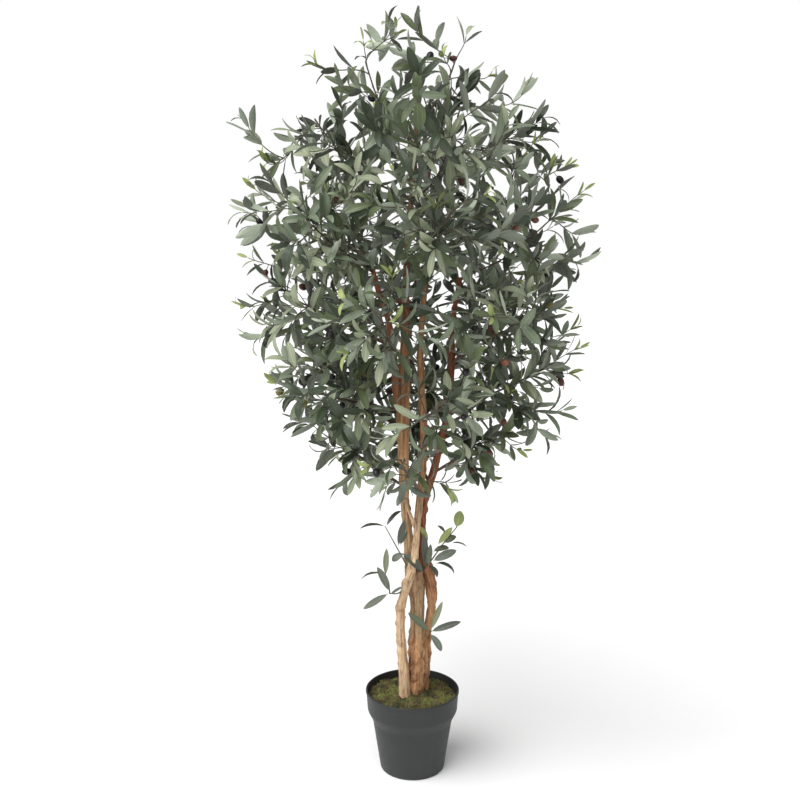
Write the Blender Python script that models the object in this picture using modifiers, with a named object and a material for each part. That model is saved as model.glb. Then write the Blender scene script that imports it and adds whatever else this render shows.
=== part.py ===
"""Artificial olive tree in a nursery pot: three twisted wooden stems cast into the pot, thin boughs
and lumpy masses of leaves. Metres, +Z up, front towards -Y. The origin is the centre of the pot's
flat underside."""

import math
import random
from collections import namedtuple

import bmesh
import bpy
from mathutils import Vector, noise
from mathutils.bvhtree import BVHTree

# ---------------------------------------------------------------- driving dimensions

TREE_HEIGHT = 1.500  # pot underside to the tip of the highest shoot
GAP = 0.0003  # clearance between pieces that touch
SEED = 5

# pot
POT_HEIGHT = 0.169
POT_RIM_RADIUS = 0.0955
POT_BASE_RADIUS = 0.0655
COLLAR_HEIGHT = 0.042
COLLAR_DRAFT = 0.0035  # how much narrower the collar is at its lower edge
STEP_HEIGHT = 0.021  # sloping shoulder under the collar
STEP_DEPTH = 0.0105
POT_WALL = 0.0022
POT_FLOOR = 0.003
FOOT_ROUND = 0.005
FILL_TOP = 0.146  # level of the cast fill that holds the stems
MOSS_EDGE_HEIGHT = 0.153
MOSS_DOME_HEIGHT = 0.158
POT_SIDES = 32

# limbs
LIMB_RING_STEP = 0.036
LIMB_ROUNDNESS = 3
BOUGH_ROUNDNESS = 1
FINE_STEP = 0.008  # spacing of the points that distances are measured to
BOUGH_BASE_RADIUS = 0.0038
BOUGH_TIP_RADIUS = 0.0026
BOUGH_STEPS = 5
BEND_SHARE = 0.55  # where a bough turns upwards, as shares of its run out and its rise
BEND_LIFT = 0.25
LOWEST_BOUGH = 0.56
ENTRY_DEPTH = 3 * BOUGH_BASE_RADIUS  # how far a bough's draft runs into its mass before it is cut
BOUGH_MOST_DROP = 0.10  # a bough is happiest leaving its stem this far below its mass
DROP_WORTH = 0.8

# crown
CROWN = "foliage"  # the first word of a crown mass's name
STEM_ROOM = 0.030  # bare space between the stems and the leaves
TURN_SPREAD = 8.0  # degrees by which a mass may stray round its ring
HEIGHT_SPREAD = 0.018
WIDTH_SHARE = 1.2  # half width of a mass, as a share of half its sector's chord
CHORD_MARGIN = 0.03  # where that chord is taken, beyond the middle of the mass
MASS_COLUMNS = 12
MASS_ROWS = 8
SHOOT_COLUMNS = 8
SHOOT_ROWS = 6
SHOOT_FLATNESS = 0.8  # depth of a trunk shoot, as a share of its width
LUMP_SIZE = 0.30  # unevenness of a mass, as a share of its radius
LUMP_PITCH = 2.2  # how many lumps to a unit sphere
LUMP_OFFSET = Vector((3.7, 1.3, 2.1))  # moves each mass to another place in the lump pattern
PEAK_SIZE = 1.14  # how far single shoots stand out, as a share of the radius there
PEAKS = 4
CREASE_SHARPNESS = 9.0  # higher gives flatter faces between neighbouring masses
OUTLINE_HALVINGS = 16
OPEN_AIR = 10.0  # room in a direction where nothing stands in a mass's way

# (height, radius) of the crown's rounded outline, from its foot up
CROWN_PROFILE = (
    (0.585, 0.070),
    (0.620, 0.145),
    (0.665, 0.190),
    (0.720, 0.240),
    (0.800, 0.280),
    (0.950, 0.310),
    (1.120, 0.318),
    (1.250, 0.300),
    (1.320, 0.245),
    (1.400, 0.160),
    (1.455, 0.080),
    (1.470, 0.0),
)

Knot = namedtuple("Knot", "height side depth radius")
Tier = namedtuple("Tier", "name height count turn ring_share half_height lift")
Shoot = namedtuple("Shoot", "name side depth height half_width half_height")
Tip = namedtuple("Tip", "side height")
Mass = namedtuple("Mass", "name centre axes radii limits seed columns rows")

# Each limb's route from its foot to its tip. A stem starts at its flat cut on the fill.
LIMBS = {
    "stem_front": (
        Knot(FILL_TOP, -0.0158, -0.012, 0.0118),
        Knot(0.171, -0.0163, -0.012, 0.0103),
        Knot(0.214, -0.0181, -0.012, 0.0099),
        Knot(0.300, -0.0247, -0.012, 0.0087),
        Knot(0.333, -0.0258, -0.013, 0.0086),
        Knot(0.365, -0.0231, -0.014, 0.0085),
        Knot(0.408, -0.0086, -0.018, 0.0082),
        Knot(0.454, 0.0060, -0.019, 0.0070),
        Knot(0.510, 0.0064, -0.013, 0.0068),
        Knot(0.570, 0.0135, -0.006, 0.0072),
        Knot(0.610, 0.0188, -0.003, 0.0075),
        Knot(0.705, 0.0225, 0.001, 0.0075),
        Knot(0.768, 0.0176, 0.004, 0.0071),
        Knot(0.868, 0.0136, 0.008, 0.0063),
        Knot(0.960, 0.0200, 0.012, 0.0055),
        Knot(1.060, 0.0300, 0.016, 0.0045),
    ),
    "stem_main": (
        Knot(FILL_TOP, 0.0060, 0.004, 0.0134),
        Knot(0.185, 0.0050, 0.004, 0.0121),
        Knot(0.239, 0.0057, 0.006, 0.0119),
        Knot(0.270, 0.0082, 0.008, 0.0123),
        Knot(0.334, 0.0088, 0.010, 0.0132),
        Knot(0.399, 0.0071, 0.008, 0.0132),
        Knot(0.432, 0.0000, 0.004, 0.0119),
        Knot(0.464, -0.0080, 0.002, 0.0102),
        Knot(0.527, -0.0116, 0.002, 0.0086),
        Knot(0.568, -0.0167, 0.001, 0.0082),
        Knot(0.609, -0.0178, 0.000, 0.0087),
        Knot(0.670, -0.0199, -0.001, 0.0099),
        Knot(0.729, -0.0202, -0.002, 0.0108),
        Knot(0.780, -0.0186, 0.000, 0.0088),
        Knot(0.829, -0.0185, 0.003, 0.0078),
        Knot(0.907, -0.0145, 0.006, 0.0074),
        Knot(1.034, -0.0144, 0.006, 0.0061),
        Knot(1.140, -0.0060, 0.005, 0.0051),
        Knot(1.230, 0.0030, 0.004, 0.0044),
        Knot(1.310, 0.0060, 0.002, 0.0038),
    ),
    "stem_right": (
        Knot(FILL_TOP, 0.0232, 0.030, 0.0110),
        Knot(0.180, 0.0236, 0.029, 0.0096),
        Knot(0.230, 0.0273, 0.025, 0.0091),
        Knot(0.264, 0.0309, 0.022, 0.0082),
        Knot(0.309, 0.0361, 0.019, 0.0077),
        Knot(0.342, 0.0409, 0.018, 0.0082),
        Knot(0.374, 0.0426, 0.017, 0.0087),
        Knot(0.396, 0.0376, 0.015, 0.0083),
        Knot(0.429, 0.0273, 0.012, 0.0081),
        Knot(0.461, 0.0222, 0.011, 0.0079),
        Knot(0.534, 0.0205, 0.012, 0.0076),
        Knot(0.565, 0.0235, 0.013, 0.0075),
        Knot(0.616, 0.0407, 0.014, 0.0070),
        Knot(0.667, 0.0516, 0.013, 0.0071),
        Knot(0.718, 0.0645, 0.011, 0.0067),
        Knot(0.769, 0.0726, 0.008, 0.0063),
        Knot(0.838, 0.0756, 0.006, 0.0058),
        Knot(0.911, 0.0745, 0.005, 0.0050),
        Knot(1.003, 0.0890, 0.006, 0.0042),
    ),
    "fork_left": (
        Knot(0.728, -0.0210, -0.004, 0.0070),
        Knot(0.752, -0.0252, -0.008, 0.0072),
        Knot(0.784, -0.0336, -0.013, 0.0071),
        Knot(0.825, -0.0355, -0.016, 0.0066),
        Knot(0.871, -0.0375, -0.017, 0.0062),
        Knot(0.928, -0.0475, -0.017, 0.0055),
        Knot(0.986, -0.0680, -0.015, 0.0048),
        Knot(1.040, -0.0800, -0.012, 0.0042),
    ),
    "stem_link": (
        Knot(0.507, 0.0060, -0.0150, 0.0037),
        Knot(0.520, 0.0045, -0.0230, 0.0038),
        Knot(0.536, -0.0015, -0.0215, 0.0037),
        Knot(0.552, -0.0085, -0.0160, 0.0036),
        Knot(0.572, -0.0160, -0.0060, 0.0034),
    ),
}
# The limbs that grow out of others, with the limbs they are cut to fit.
HOSTS = {"fork_left": ("stem_main",), "stem_link": ("stem_front", "stem_main")}

# The crown's rings of masses, from the skirt up. turn is where the first mass points, in degrees
# from the right-hand side, ring_share where its middle lies between the axis and the outline.
TIERS = (
    Tier("skirt", 0.685, 4, 0.0, 0.58, 0.100, 0.25),
    Tier("lower", 0.805, 5, 0.0, 0.60, 0.105, 0.30),
    Tier("middle", 0.960, 5, 180.0, 0.60, 0.115, 0.40),
    Tier("upper", 1.115, 5, 0.0, 0.60, 0.120, 0.50),
    Tier("shoulder", 1.265, 3, 60.0, 0.50, 0.125, 0.75),
    Tier("top", 1.365, 2, 190.0, 0.32, 0.120, 1.60),
)

# The furthest shoots in the crown's front outline.
TIPS = (
    Tip(0.008, TREE_HEIGHT),
    Tip(-0.034, 1.474),
    Tip(-0.100, 1.453),
    Tip(-0.200, 1.415),
    Tip(-0.322, 1.315),
    Tip(-0.337, 1.136),
    Tip(-0.356, 0.965),
    Tip(-0.294, 0.804),
    Tip(-0.241, 0.720),
    Tip(-0.161, 0.585),
    Tip(0.107, 1.460),
    Tip(0.225, 1.360),
    Tip(0.334, 1.182),
    Tip(0.351, 1.047),
    Tip(0.334, 0.853),
    Tip(0.307, 0.754),
    Tip(0.173, 0.603),
)

# Small shoots that stand out from the bare trunk.
SHOOTS = (
    Shoot("shoot_left_high", -0.0605, -0.012, 0.515, 0.043, 0.050),
    Shoot("shoot_left_low", -0.0690, -0.014, 0.402, 0.040, 0.059),
    Shoot("shoot_right_high", 0.0640, -0.004, 0.484, 0.043, 0.064),
    Shoot("shoot_right_low", 0.0500, -0.036, 0.306, 0.046, 0.050),
)


# ---------------------------------------------------------------- scene helpers


def clear_scene():
    """Empties the startup scene."""
    for old in list(bpy.data.objects):
        bpy.data.objects.remove(old)


def collection(name, shown=True):
    """A new collection in the scene; cutters go in one that isn't rendered."""
    made = bpy.data.collections.new(name)
    made.hide_render = not shown
    bpy.context.scene.collection.children.link(made)
    return made


def material(name, colour, roughness):
    """A plain dielectric finish."""
    made = bpy.data.materials.new(name)
    made.use_nodes = True
    shader = made.node_tree.nodes["Principled BSDF"]
    shader.inputs["Base Color"].default_value = (*colour, 1.0)
    shader.inputs["Roughness"].default_value = roughness
    shader.inputs["Metallic"].default_value = 0.0
    return made


def add_object(name, mesh, home, finish=None):
    """Links a new object for this mesh into its collection."""
    made = bpy.data.objects.new(name, mesh)
    home.objects.link(made)
    if finish:
        mesh.materials.append(finish)
    return made


def as_cutter(cutter):
    """Marks a helper that only shapes other pieces."""
    cutter.hide_render = True
    cutter.display_type = "WIRE"
    return cutter


def cut_with(piece, cutter):
    """Subtracts a cutter from a mesh piece."""
    cut = piece.modifiers.new("cut_" + cutter.name, "BOOLEAN")
    cut.operation = "DIFFERENCE"
    cut.object = cutter


# ---------------------------------------------------------------- pot, fill and moss


def pot_outline(inset):
    """(radius, height) of the pot's side from the rim down, set in by a wall or a clearance."""
    collar_foot = POT_HEIGHT - COLLAR_HEIGHT
    step_foot = collar_foot - STEP_HEIGHT
    collar_radius = POT_RIM_RADIUS - COLLAR_DRAFT
    step_radius = collar_radius - STEP_DEPTH
    foot_radius = POT_BASE_RADIUS + (step_radius - POT_BASE_RADIUS) * FOOT_ROUND / step_foot
    return [
        (POT_RIM_RADIUS - inset, POT_HEIGHT),
        (collar_radius - inset, collar_foot),
        (step_radius - inset, step_foot),
        (foot_radius - inset, FOOT_ROUND),
    ]


def side_radius(inset, height):
    """The pot's radius at a height, set in by a wall or a clearance."""
    points = pot_outline(inset)
    for (wide, high), (narrow, low) in zip(points, points[1:]):
        if low <= height <= high:
            return narrow + (wide - narrow) * (height - low) / (high - low)
    return points[-1][0]


def turned(name, profile, home, finish):
    """A solid of revolution from a profile that runs from the top of the axis to its foot."""
    shape = bmesh.new()
    verts = [shape.verts.new((radius, 0.0, height)) for radius, height in profile]
    for a, b in zip(verts, verts[1:]):
        shape.edges.new((a, b))
    mesh = bpy.data.meshes.new(name)
    shape.to_mesh(mesh)
    shape.free()
    made = add_object(name, mesh, home, finish)
    screw = made.modifiers.new("turn", "SCREW")
    screw.steps = POT_SIDES
    screw.render_steps = POT_SIDES
    screw.use_merge_vertices = True
    screw.merge_threshold = 0.0001
    return made


def make_pot(home, finish):
    """The thin moulded pot: inside floor and wall, rim, outside wall, rounded foot and underside."""
    rim_round = POT_WALL / 2
    inside = [(0.0, POT_FLOOR), (side_radius(POT_WALL, FOOT_ROUND) - POT_WALL, POT_FLOOR)]
    inside += list(reversed(pot_outline(POT_WALL)[1:]))
    rim = [
        (POT_RIM_RADIUS - POT_WALL, POT_HEIGHT - rim_round),
        (POT_RIM_RADIUS - rim_round, POT_HEIGHT),
        (POT_RIM_RADIUS, POT_HEIGHT - rim_round),
    ]
    outside = pot_outline(0.0)[1:]
    foot = [
        (POT_BASE_RADIUS - 0.3 * FOOT_ROUND, 0.3 * FOOT_ROUND),
        (POT_BASE_RADIUS - FOOT_ROUND, 0.0),
        (0.0, 0.0),
    ]
    return turned("pot", [*inside, *rim, *outside, *foot], home, finish)


def make_fill(home, finish):
    """The cast fill that holds the stems, as wide as the pot's inside up to its level top."""
    inset = POT_WALL + GAP
    low = POT_FLOOR + GAP
    side = [(side_radius(inset, FILL_TOP), FILL_TOP)]
    side += [point for point in pot_outline(inset) if FOOT_ROUND <= point[1] < FILL_TOP]
    side += [(side[-1][0] - POT_WALL, low), (0.0, low)]
    return turned("pot_fill", [(0.0, FILL_TOP), *side], home, finish)


def make_moss(home, finish, limb_cutters):
    """A low cushion of moss on the fill, cut round the stems."""
    inset = POT_WALL + GAP
    low = FILL_TOP + GAP
    edge = side_radius(inset, MOSS_EDGE_HEIGHT)
    sag = MOSS_DOME_HEIGHT - MOSS_EDGE_HEIGHT
    dome = [(edge * share, MOSS_DOME_HEIGHT - sag * share**2) for share in (0.0, 0.5, 0.8, 1.0)]
    made = turned("moss", [*dome, (side_radius(inset, low), low), (0.0, low)], home, finish)
    for cutter in limb_cutters:
        cut_with(made, cutter)
    return made


# ---------------------------------------------------------------- limbs


def spline_point(rows, at):
    """A point of the smooth curve through rows of numbers; at counts the rows."""
    last = len(rows) - 1
    i = min(int(at), last - 1)
    t = at - i
    before, start, end, after = (rows[min(max(i + k, 0), last)] for k in (-1, 0, 1, 2))
    point = []
    for a, b, c, d in zip(before, start, end, after):
        rise = 2 * a - 5 * b + 4 * c - d
        turn = 3 * b - a - 3 * c + d
        point.append(0.5 * (2 * b + (c - a) * t + rise * t**2 + turn * t**3))
    return point


def limb_line(name, step):
    """(point, radius) along a limb's smooth route, one about every step of its height."""
    rows = [(knot.side, knot.depth, knot.height, knot.radius) for knot in LIMBS[name]]
    line = []
    for i, (low, high) in enumerate(zip(rows, rows[1:])):
        parts = max(1, round((high[2] - low[2]) / step))
        line += [spline_point(rows, i + n / parts) for n in range(parts)]
    line.append(rows[-1])
    line = [(Vector(row[:3]), row[3]) for row in line]
    return line if name in HOSTS else level_foot(line)


def level_foot(line):
    """Makes a stem start straight up, so that its foot is a level cut just above the fill."""
    foot, radius = line[0]
    first = Vector((foot.x, foot.y, foot.z + GAP))
    second = Vector((foot.x, foot.y, foot.z + 10 * GAP))
    return [(first, radius), (second, radius), *line[1:]]


def tube(name, line, resolution, grow=0.0, overrun=0.0):
    """A mesh tube with flat ends along (point, radius) pairs, swollen by grow, longer by overrun."""
    line = [(point.copy(), radius + grow) for point, radius in line]
    if overrun:
        for end, inner in ((0, 1), (-1, -2)):
            outward = (line[end][0] - line[inner][0]).normalized()
            line[end] = (line[end][0] + outward * overrun, line[end][1])
    curve = bpy.data.curves.new(name, "CURVE")
    curve.dimensions = "3D"
    curve.twist_mode = "MINIMUM"
    curve.bevel_depth = 1.0
    curve.bevel_resolution = resolution
    curve.use_fill_caps = True
    route = curve.splines.new("POLY")
    route.points.add(len(line) - 1)
    for spot, (point, radius) in zip(route.points, line):
        spot.co = (*point, 1.0)
        spot.radius = radius
    draft = bpy.data.objects.new(name + "_draft", curve)
    bpy.context.scene.collection.objects.link(draft)
    bpy.context.view_layer.update()
    graph = bpy.context.evaluated_depsgraph_get()
    mesh = bpy.data.meshes.new_from_object(draft.evaluated_get(graph))
    bpy.data.objects.remove(draft)
    bpy.data.curves.remove(curve)
    welded = bmesh.new()
    welded.from_mesh(mesh)
    bmesh.ops.remove_doubles(welded, verts=welded.verts, dist=0.00002)
    bmesh.ops.recalc_face_normals(welded, faces=welded.faces)
    welded.to_mesh(mesh)
    welded.free()
    mesh.name = name
    return mesh


def make_limbs(home, cutters, finish):
    """The stems and forks, and a swollen cutter for each, which is returned by the limb's name."""
    tools = {}
    for name in LIMBS:
        line = limb_line(name, LIMB_RING_STEP)
        limb = add_object(name, tube(name, line, LIMB_ROUNDNESS), home, finish)
        limb.data.shade_smooth()
        for host in HOSTS.get(name, ()):
            cut_with(limb, tools[host])
        room = tube(name + "_room", line, LIMB_ROUNDNESS, grow=GAP, overrun=2 * GAP)
        tools[name] = as_cutter(add_object(name + "_room", room, cutters))
    return tools


# ---------------------------------------------------------------- masses of leaves


def crown_radius(height):
    """The crown's outline: how far from the axis it reaches at a height."""
    low_height, low_radius = CROWN_PROFILE[0]
    for high_height, high_radius in CROWN_PROFILE[1:]:
        if height <= high_height:
            share = (height - low_height) / (high_height - low_height)
            return max(0.0, low_radius + (high_radius - low_radius) * share)
        low_height, low_radius = high_height, high_radius
    return 0.0


def crown_masses():
    """Every mass of the crown, ring by ring, each pointing outwards and up from the trunk."""
    dice = random.Random(SEED)
    masses = []
    for tier in TIERS:
        for i in range(tier.count):
            stray = dice.uniform(-TURN_SPREAD, TURN_SPREAD)
            turn = math.radians(tier.turn + 360.0 * i / tier.count + stray)
            outward = Vector((math.cos(turn), math.sin(turn), 0.0))
            height = tier.height + dice.uniform(-HEIGHT_SPREAD, HEIGHT_SPREAD)
            reach = crown_radius(height)
            ring = tier.ring_share * reach
            centre = outward * ring + Vector((0.0, 0.0, height))
            long_axis = (outward + Vector((0.0, 0.0, tier.lift))).normalized()
            side_axis = Vector((-outward.y, outward.x, 0.0))
            axes = (long_axis, side_axis, long_axis.cross(side_axis))
            half_length = (reach - ring) / long_axis.dot(outward)
            half_chord = math.sin(math.pi / max(tier.count, 3)) * (ring + CHORD_MARGIN)
            half_width = WIDTH_SHARE * half_chord
            radii = (half_length, half_width, tier.half_height)
            name = f"{CROWN}_{tier.name}_{'abcdef'[i]}"
            masses.append(Mass(name, centre, axes, radii, [], SEED + len(masses), MASS_COLUMNS, MASS_ROWS))
    return masses


def trunk_shoots():
    """The small masses on the bare trunk."""
    axes = (Vector((1.0, 0.0, 0.0)), Vector((0.0, 1.0, 0.0)), Vector((0.0, 0.0, 1.0)))
    shoots = []
    for i, shoot in enumerate(SHOOTS):
        centre = Vector((shoot.side, shoot.depth, shoot.height))
        radii = (shoot.half_width, SHOOT_FLATNESS * shoot.half_width, shoot.half_height)
        seed = SEED - 1 - i
        shoots.append(Mass(shoot.name, centre, axes, radii, [], seed, SHOOT_COLUMNS, SHOOT_ROWS))
    return shoots


def weight(mass):
    """How strongly a mass pushes its borders with its neighbours outwards."""
    return min(mass.radii) ** 2


def limit_masses(masses, limb_lines):
    """Gives each mass the planes that keep it clear of its neighbours and of the stems.
    A plane is (unit normal, distance from the mass's centre)."""
    for mass in masses:
        room = STEM_ROOM if mass.name.startswith(CROWN) else GAP
        for other in masses:
            if other is not mass:
                apart = other.centre - mass.centre
                share = weight(mass) - weight(other)
                distance = (apart.length_squared + share) / (2 * apart.length) - GAP / 2
                mass.limits.append((apart.normalized(), distance))
        for line in limb_lines.values():
            for point, radius in line:
                apart = point - mass.centre
                mass.limits.append((apart.normalized(), apart.length - radius - room))


def room_ahead(mass, direction):
    """How far a mass may reach in a direction before it meets one of its limits."""
    nearest = OPEN_AIR
    for normal, distance in mass.limits:
        lean = normal.dot(direction)
        if lean > 0.0:
            nearest = min(nearest, distance / lean)
    return nearest


def outline_distance(centre, direction, reach):
    """How far a line from a centre runs before it leaves the crown's outline, at most reach."""
    inside, outside = 0.0, reach
    for _ in range(OUTLINE_HALVINGS):
        middle = (inside + outside) / 2
        point = centre + direction * middle
        if point.xy.length < crown_radius(point.z):
            inside = middle
        else:
            outside = middle
    return outside


def surface_distance(mass, direction):
    """How far a mass reaches from its centre along a unit direction."""
    stretched = [direction.dot(axis) / radius for axis, radius in zip(mass.axes, mass.radii)]
    reach = 1.0 / math.sqrt(sum(s * s for s in stretched))
    if mass.name.startswith(CROWN):
        reach = outline_distance(mass.centre, direction, reach)
    lump = noise.noise(direction * LUMP_PITCH + LUMP_OFFSET * mass.seed)
    reach *= 1.0 + LUMP_SIZE * lump
    inverse = reach**-CREASE_SHARPNESS + room_ahead(mass, direction) ** -CREASE_SHARPNESS
    return inverse ** (-1.0 / CREASE_SHARPNESS)


def mass_shape(mass):
    """A lumpy closed mesh, with its poles along the mass's long axis."""
    shape = bmesh.new()
    bmesh.ops.create_uvsphere(shape, u_segments=mass.columns, v_segments=mass.rows, radius=1.0)
    for vert in shape.verts:
        spot = vert.co.normalized()
        direction = mass.axes[0] * spot.z + mass.axes[1] * spot.x + mass.axes[2] * spot.y
        direction.normalize()
        vert.co = mass.centre + direction * surface_distance(mass, direction)
    return shape


def draw_out(shape, mass, goal):
    """Draws the vertex that points nearest to a goal out to it."""
    run = goal - mass.centre
    aim = run.normalized()
    nearest = max(shape.verts, key=lambda vert: (vert.co - mass.centre).normalized().dot(aim))
    if run.length > (nearest.co - mass.centre).length:
        nearest.co = mass.centre + aim * min(run.length, room_ahead(mass, aim))


def shoot_goals(mass, masses):
    """Where single shoots stand out of a mass: the crown's outline tips in it, and some others."""
    goals = []
    crown = [m for m in masses if m.name.startswith(CROWN)]
    for tip in TIPS:
        spot = Vector((tip.side, 0.0, tip.height))
        owner = min(crown, key=lambda m: (spot - m.centre).length_squared - weight(m))
        if owner is mass:
            goals.append(spot)
    dice = random.Random(mass.seed)
    for _ in range(PEAKS):
        outward = mass.axes[0] * dice.uniform(0.6, 1.2)
        aside = mass.axes[1] * dice.uniform(-0.9, 0.9) + mass.axes[2] * dice.uniform(-0.5, 0.9)
        aim = (outward + aside).normalized()
        goals.append(mass.centre + aim * surface_distance(mass, aim) * PEAK_SIZE)
    return goals


def nearest_wood(mass, limb_lines):
    """The point of the stems' middle lines that lies nearest to a mass."""
    points = [point for line in limb_lines.values() for point, _ in line]
    return min(points, key=lambda point: (point - mass.centre).length)


def make_masses(masses, limb_lines, home, cutters, finish):
    """Every mass as its own object, and a slightly swollen cutter for each, by the mass's name."""
    bodies = {}
    for mass in masses:
        shape = mass_shape(mass)
        goals = shoot_goals(mass, masses)
        if not mass.name.startswith(CROWN):
            goals.append(nearest_wood(mass, limb_lines))
        for goal in goals:
            draw_out(shape, mass, goal)
        mesh = bpy.data.meshes.new(mass.name)
        shape.to_mesh(mesh)
        add_object(mass.name, mesh, home, finish)
        mesh.shade_smooth()
        for vert in shape.verts:
            vert.co += (vert.co - mass.centre).normalized() * 1.5 * GAP
        room = bpy.data.meshes.new(mass.name + "_room")
        shape.to_mesh(room)
        shape.free()
        bodies[mass.name] = as_cutter(add_object(mass.name + "_room", room, cutters))
    return bodies


# ---------------------------------------------------------------- boughs


class Body:
    """A mass's surface, for asking how far points are from it."""

    def __init__(self, mass, mesh):
        corners = [vert.co for vert in mesh.vertices]
        self.centre = mass.centre
        self.tree = BVHTree.FromPolygons(corners, [list(face.vertices) for face in mesh.polygons])

    def distance(self, point):
        """How far a point is outside the mass, below zero inside it."""
        apart = point - self.centre
        nearest = self.tree.find_nearest(point)[3]
        reach = self.tree.ray_cast(self.centre, apart)[3]
        return nearest if reach is not None and apart.length > reach else -nearest


def bough_route(start, goal, steps):
    """A line of points that leaves a stem outwards and curves up to its goal."""
    run = goal - start
    bend = start + Vector((run.x * BEND_SHARE, run.y * BEND_SHARE, run.z * BEND_LIFT))
    shares = [n / steps for n in range(steps + 1)]
    return [start * (1 - t) ** 2 + bend * 2 * t * (1 - t) + goal * t**2 for t in shares]


def bare_part(route, body):
    """The start of a route up to the first point that lies well inside its mass."""
    for n, point in enumerate(route):
        if body.distance(point) < -ENTRY_DEPTH:
            return route[: n + 1]
    return route


def is_free(route, own_limb, limb_lines, other_bodies, boughs):
    """True if a bough on this route keeps off every other mass, stem and bough."""
    room = BOUGH_BASE_RADIUS + 2 * GAP
    for point in route[1:]:
        for name, line in limb_lines.items():
            if name != own_limb and any((point - p).length < r + room for p, r in line):
                return False
        if any((point - p).length < room + BOUGH_BASE_RADIUS for other in boughs for p in other):
            return False
        if any(body.distance(point) < room for body in other_bodies):
            return False
    return True


def find_bough(mass, limb_lines, bodies, boughs):
    """The best free route from a stem to a mass: short, and rising to it where it can."""
    others = [body for name, body in bodies.items() if name != mass.name]
    choices = []
    for name, line in limb_lines.items():
        for point, _ in line[2:]:
            drop = mass.centre.z - point.z
            if point.z > LOWEST_BOUGH:
                reach = (mass.centre - point).length
                choices.append((reach - DROP_WORTH * min(drop, BOUGH_MOST_DROP), name, point))
    for _, name, point in sorted(choices, key=lambda choice: choice[0]):
        goal = mass.centre
        fine_steps = max(BOUGH_STEPS, round((goal - point).length / FINE_STEP))
        fine = bare_part(bough_route(point, goal, fine_steps), bodies[mass.name])
        if is_free(fine, name, limb_lines, others, boughs):
            boughs.append(fine)
            share = (len(fine) - 1) / BOUGH_STEPS
            return name, [fine[round(n * share)] for n in range(BOUGH_STEPS + 1)]
    raise RuntimeError(f"no free way from a stem to {mass.name}")


def make_boughs(masses, limb_lines, limb_cutters, mass_cutters, home, finish):
    """One bough for each mass of the crown, cut to fit its stem and its mass."""
    bodies = {mass.name: Body(mass, mass_cutters[mass.name].data) for mass in masses}
    boughs = []
    taper = (BOUGH_TIP_RADIUS - BOUGH_BASE_RADIUS) / BOUGH_STEPS
    for mass in masses:
        if not mass.name.startswith(CROWN):
            continue
        limb_name, route = find_bough(mass, limb_lines, bodies, boughs)
        line = [(point, BOUGH_BASE_RADIUS + taper * n) for n, point in enumerate(route)]
        name = mass.name.replace(CROWN, "bough")
        bough = add_object(name, tube(name, line, BOUGH_ROUNDNESS), home, finish)
        bough.data.shade_smooth()
        cut_with(bough, limb_cutters[limb_name])
        cut_with(bough, mass_cutters[mass.name])


# ---------------------------------------------------------------- the tree


def main():
    clear_scene()
    tree = collection("potted_olive_tree")
    cutters = collection("cutters", shown=False)
    plastic = material("pot_plastic", (0.045, 0.048, 0.052), 0.5)
    cement = material("cast_fill", (0.30, 0.29, 0.27), 0.9)
    moss = material("dyed_moss", (0.10, 0.12, 0.03), 1.0)
    wood = material("peeled_wood", (0.42, 0.26, 0.13), 0.75)
    twig = material("wrapped_twig", (0.09, 0.08, 0.05), 0.8)
    leaf = material("olive_leaf", (0.10, 0.14, 0.10), 0.7)

    make_pot(tree, plastic)
    make_fill(tree, cement)
    limb_cutters = make_limbs(tree, cutters, wood)
    make_moss(tree, moss, [limb_cutters[name] for name in LIMBS if name not in HOSTS])

    limb_lines = {name: limb_line(name, FINE_STEP) for name in LIMBS}
    masses = crown_masses() + trunk_shoots()
    limit_masses(masses, limb_lines)
    mass_cutters = make_masses(masses, limb_lines, tree, cutters, leaf)
    make_boughs(masses, limb_lines, limb_cutters, mass_cutters, tree, twig)


main()
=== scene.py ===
"""The looks of an artificial olive tree in a nursery pot, built around its packed frame.

Lengths are in metres, in the frame of the packed parts: the origin is under the pot, +Z is up the
tree, and -Y is towards its front. Masses of foliage become sprays of leaves on twigs that grow from
the boughs by a seeded rule, and limbs become meshes with the relief of peeled wood.
"""

import functools
import math
import random
from typing import NamedTuple

import bmesh
import bpy
import numpy as np
from bpy.props import FloatProperty, FloatVectorProperty, IntProperty, PointerProperty
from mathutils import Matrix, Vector, noise
from mathutils.bvhtree import BVHTree


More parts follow.
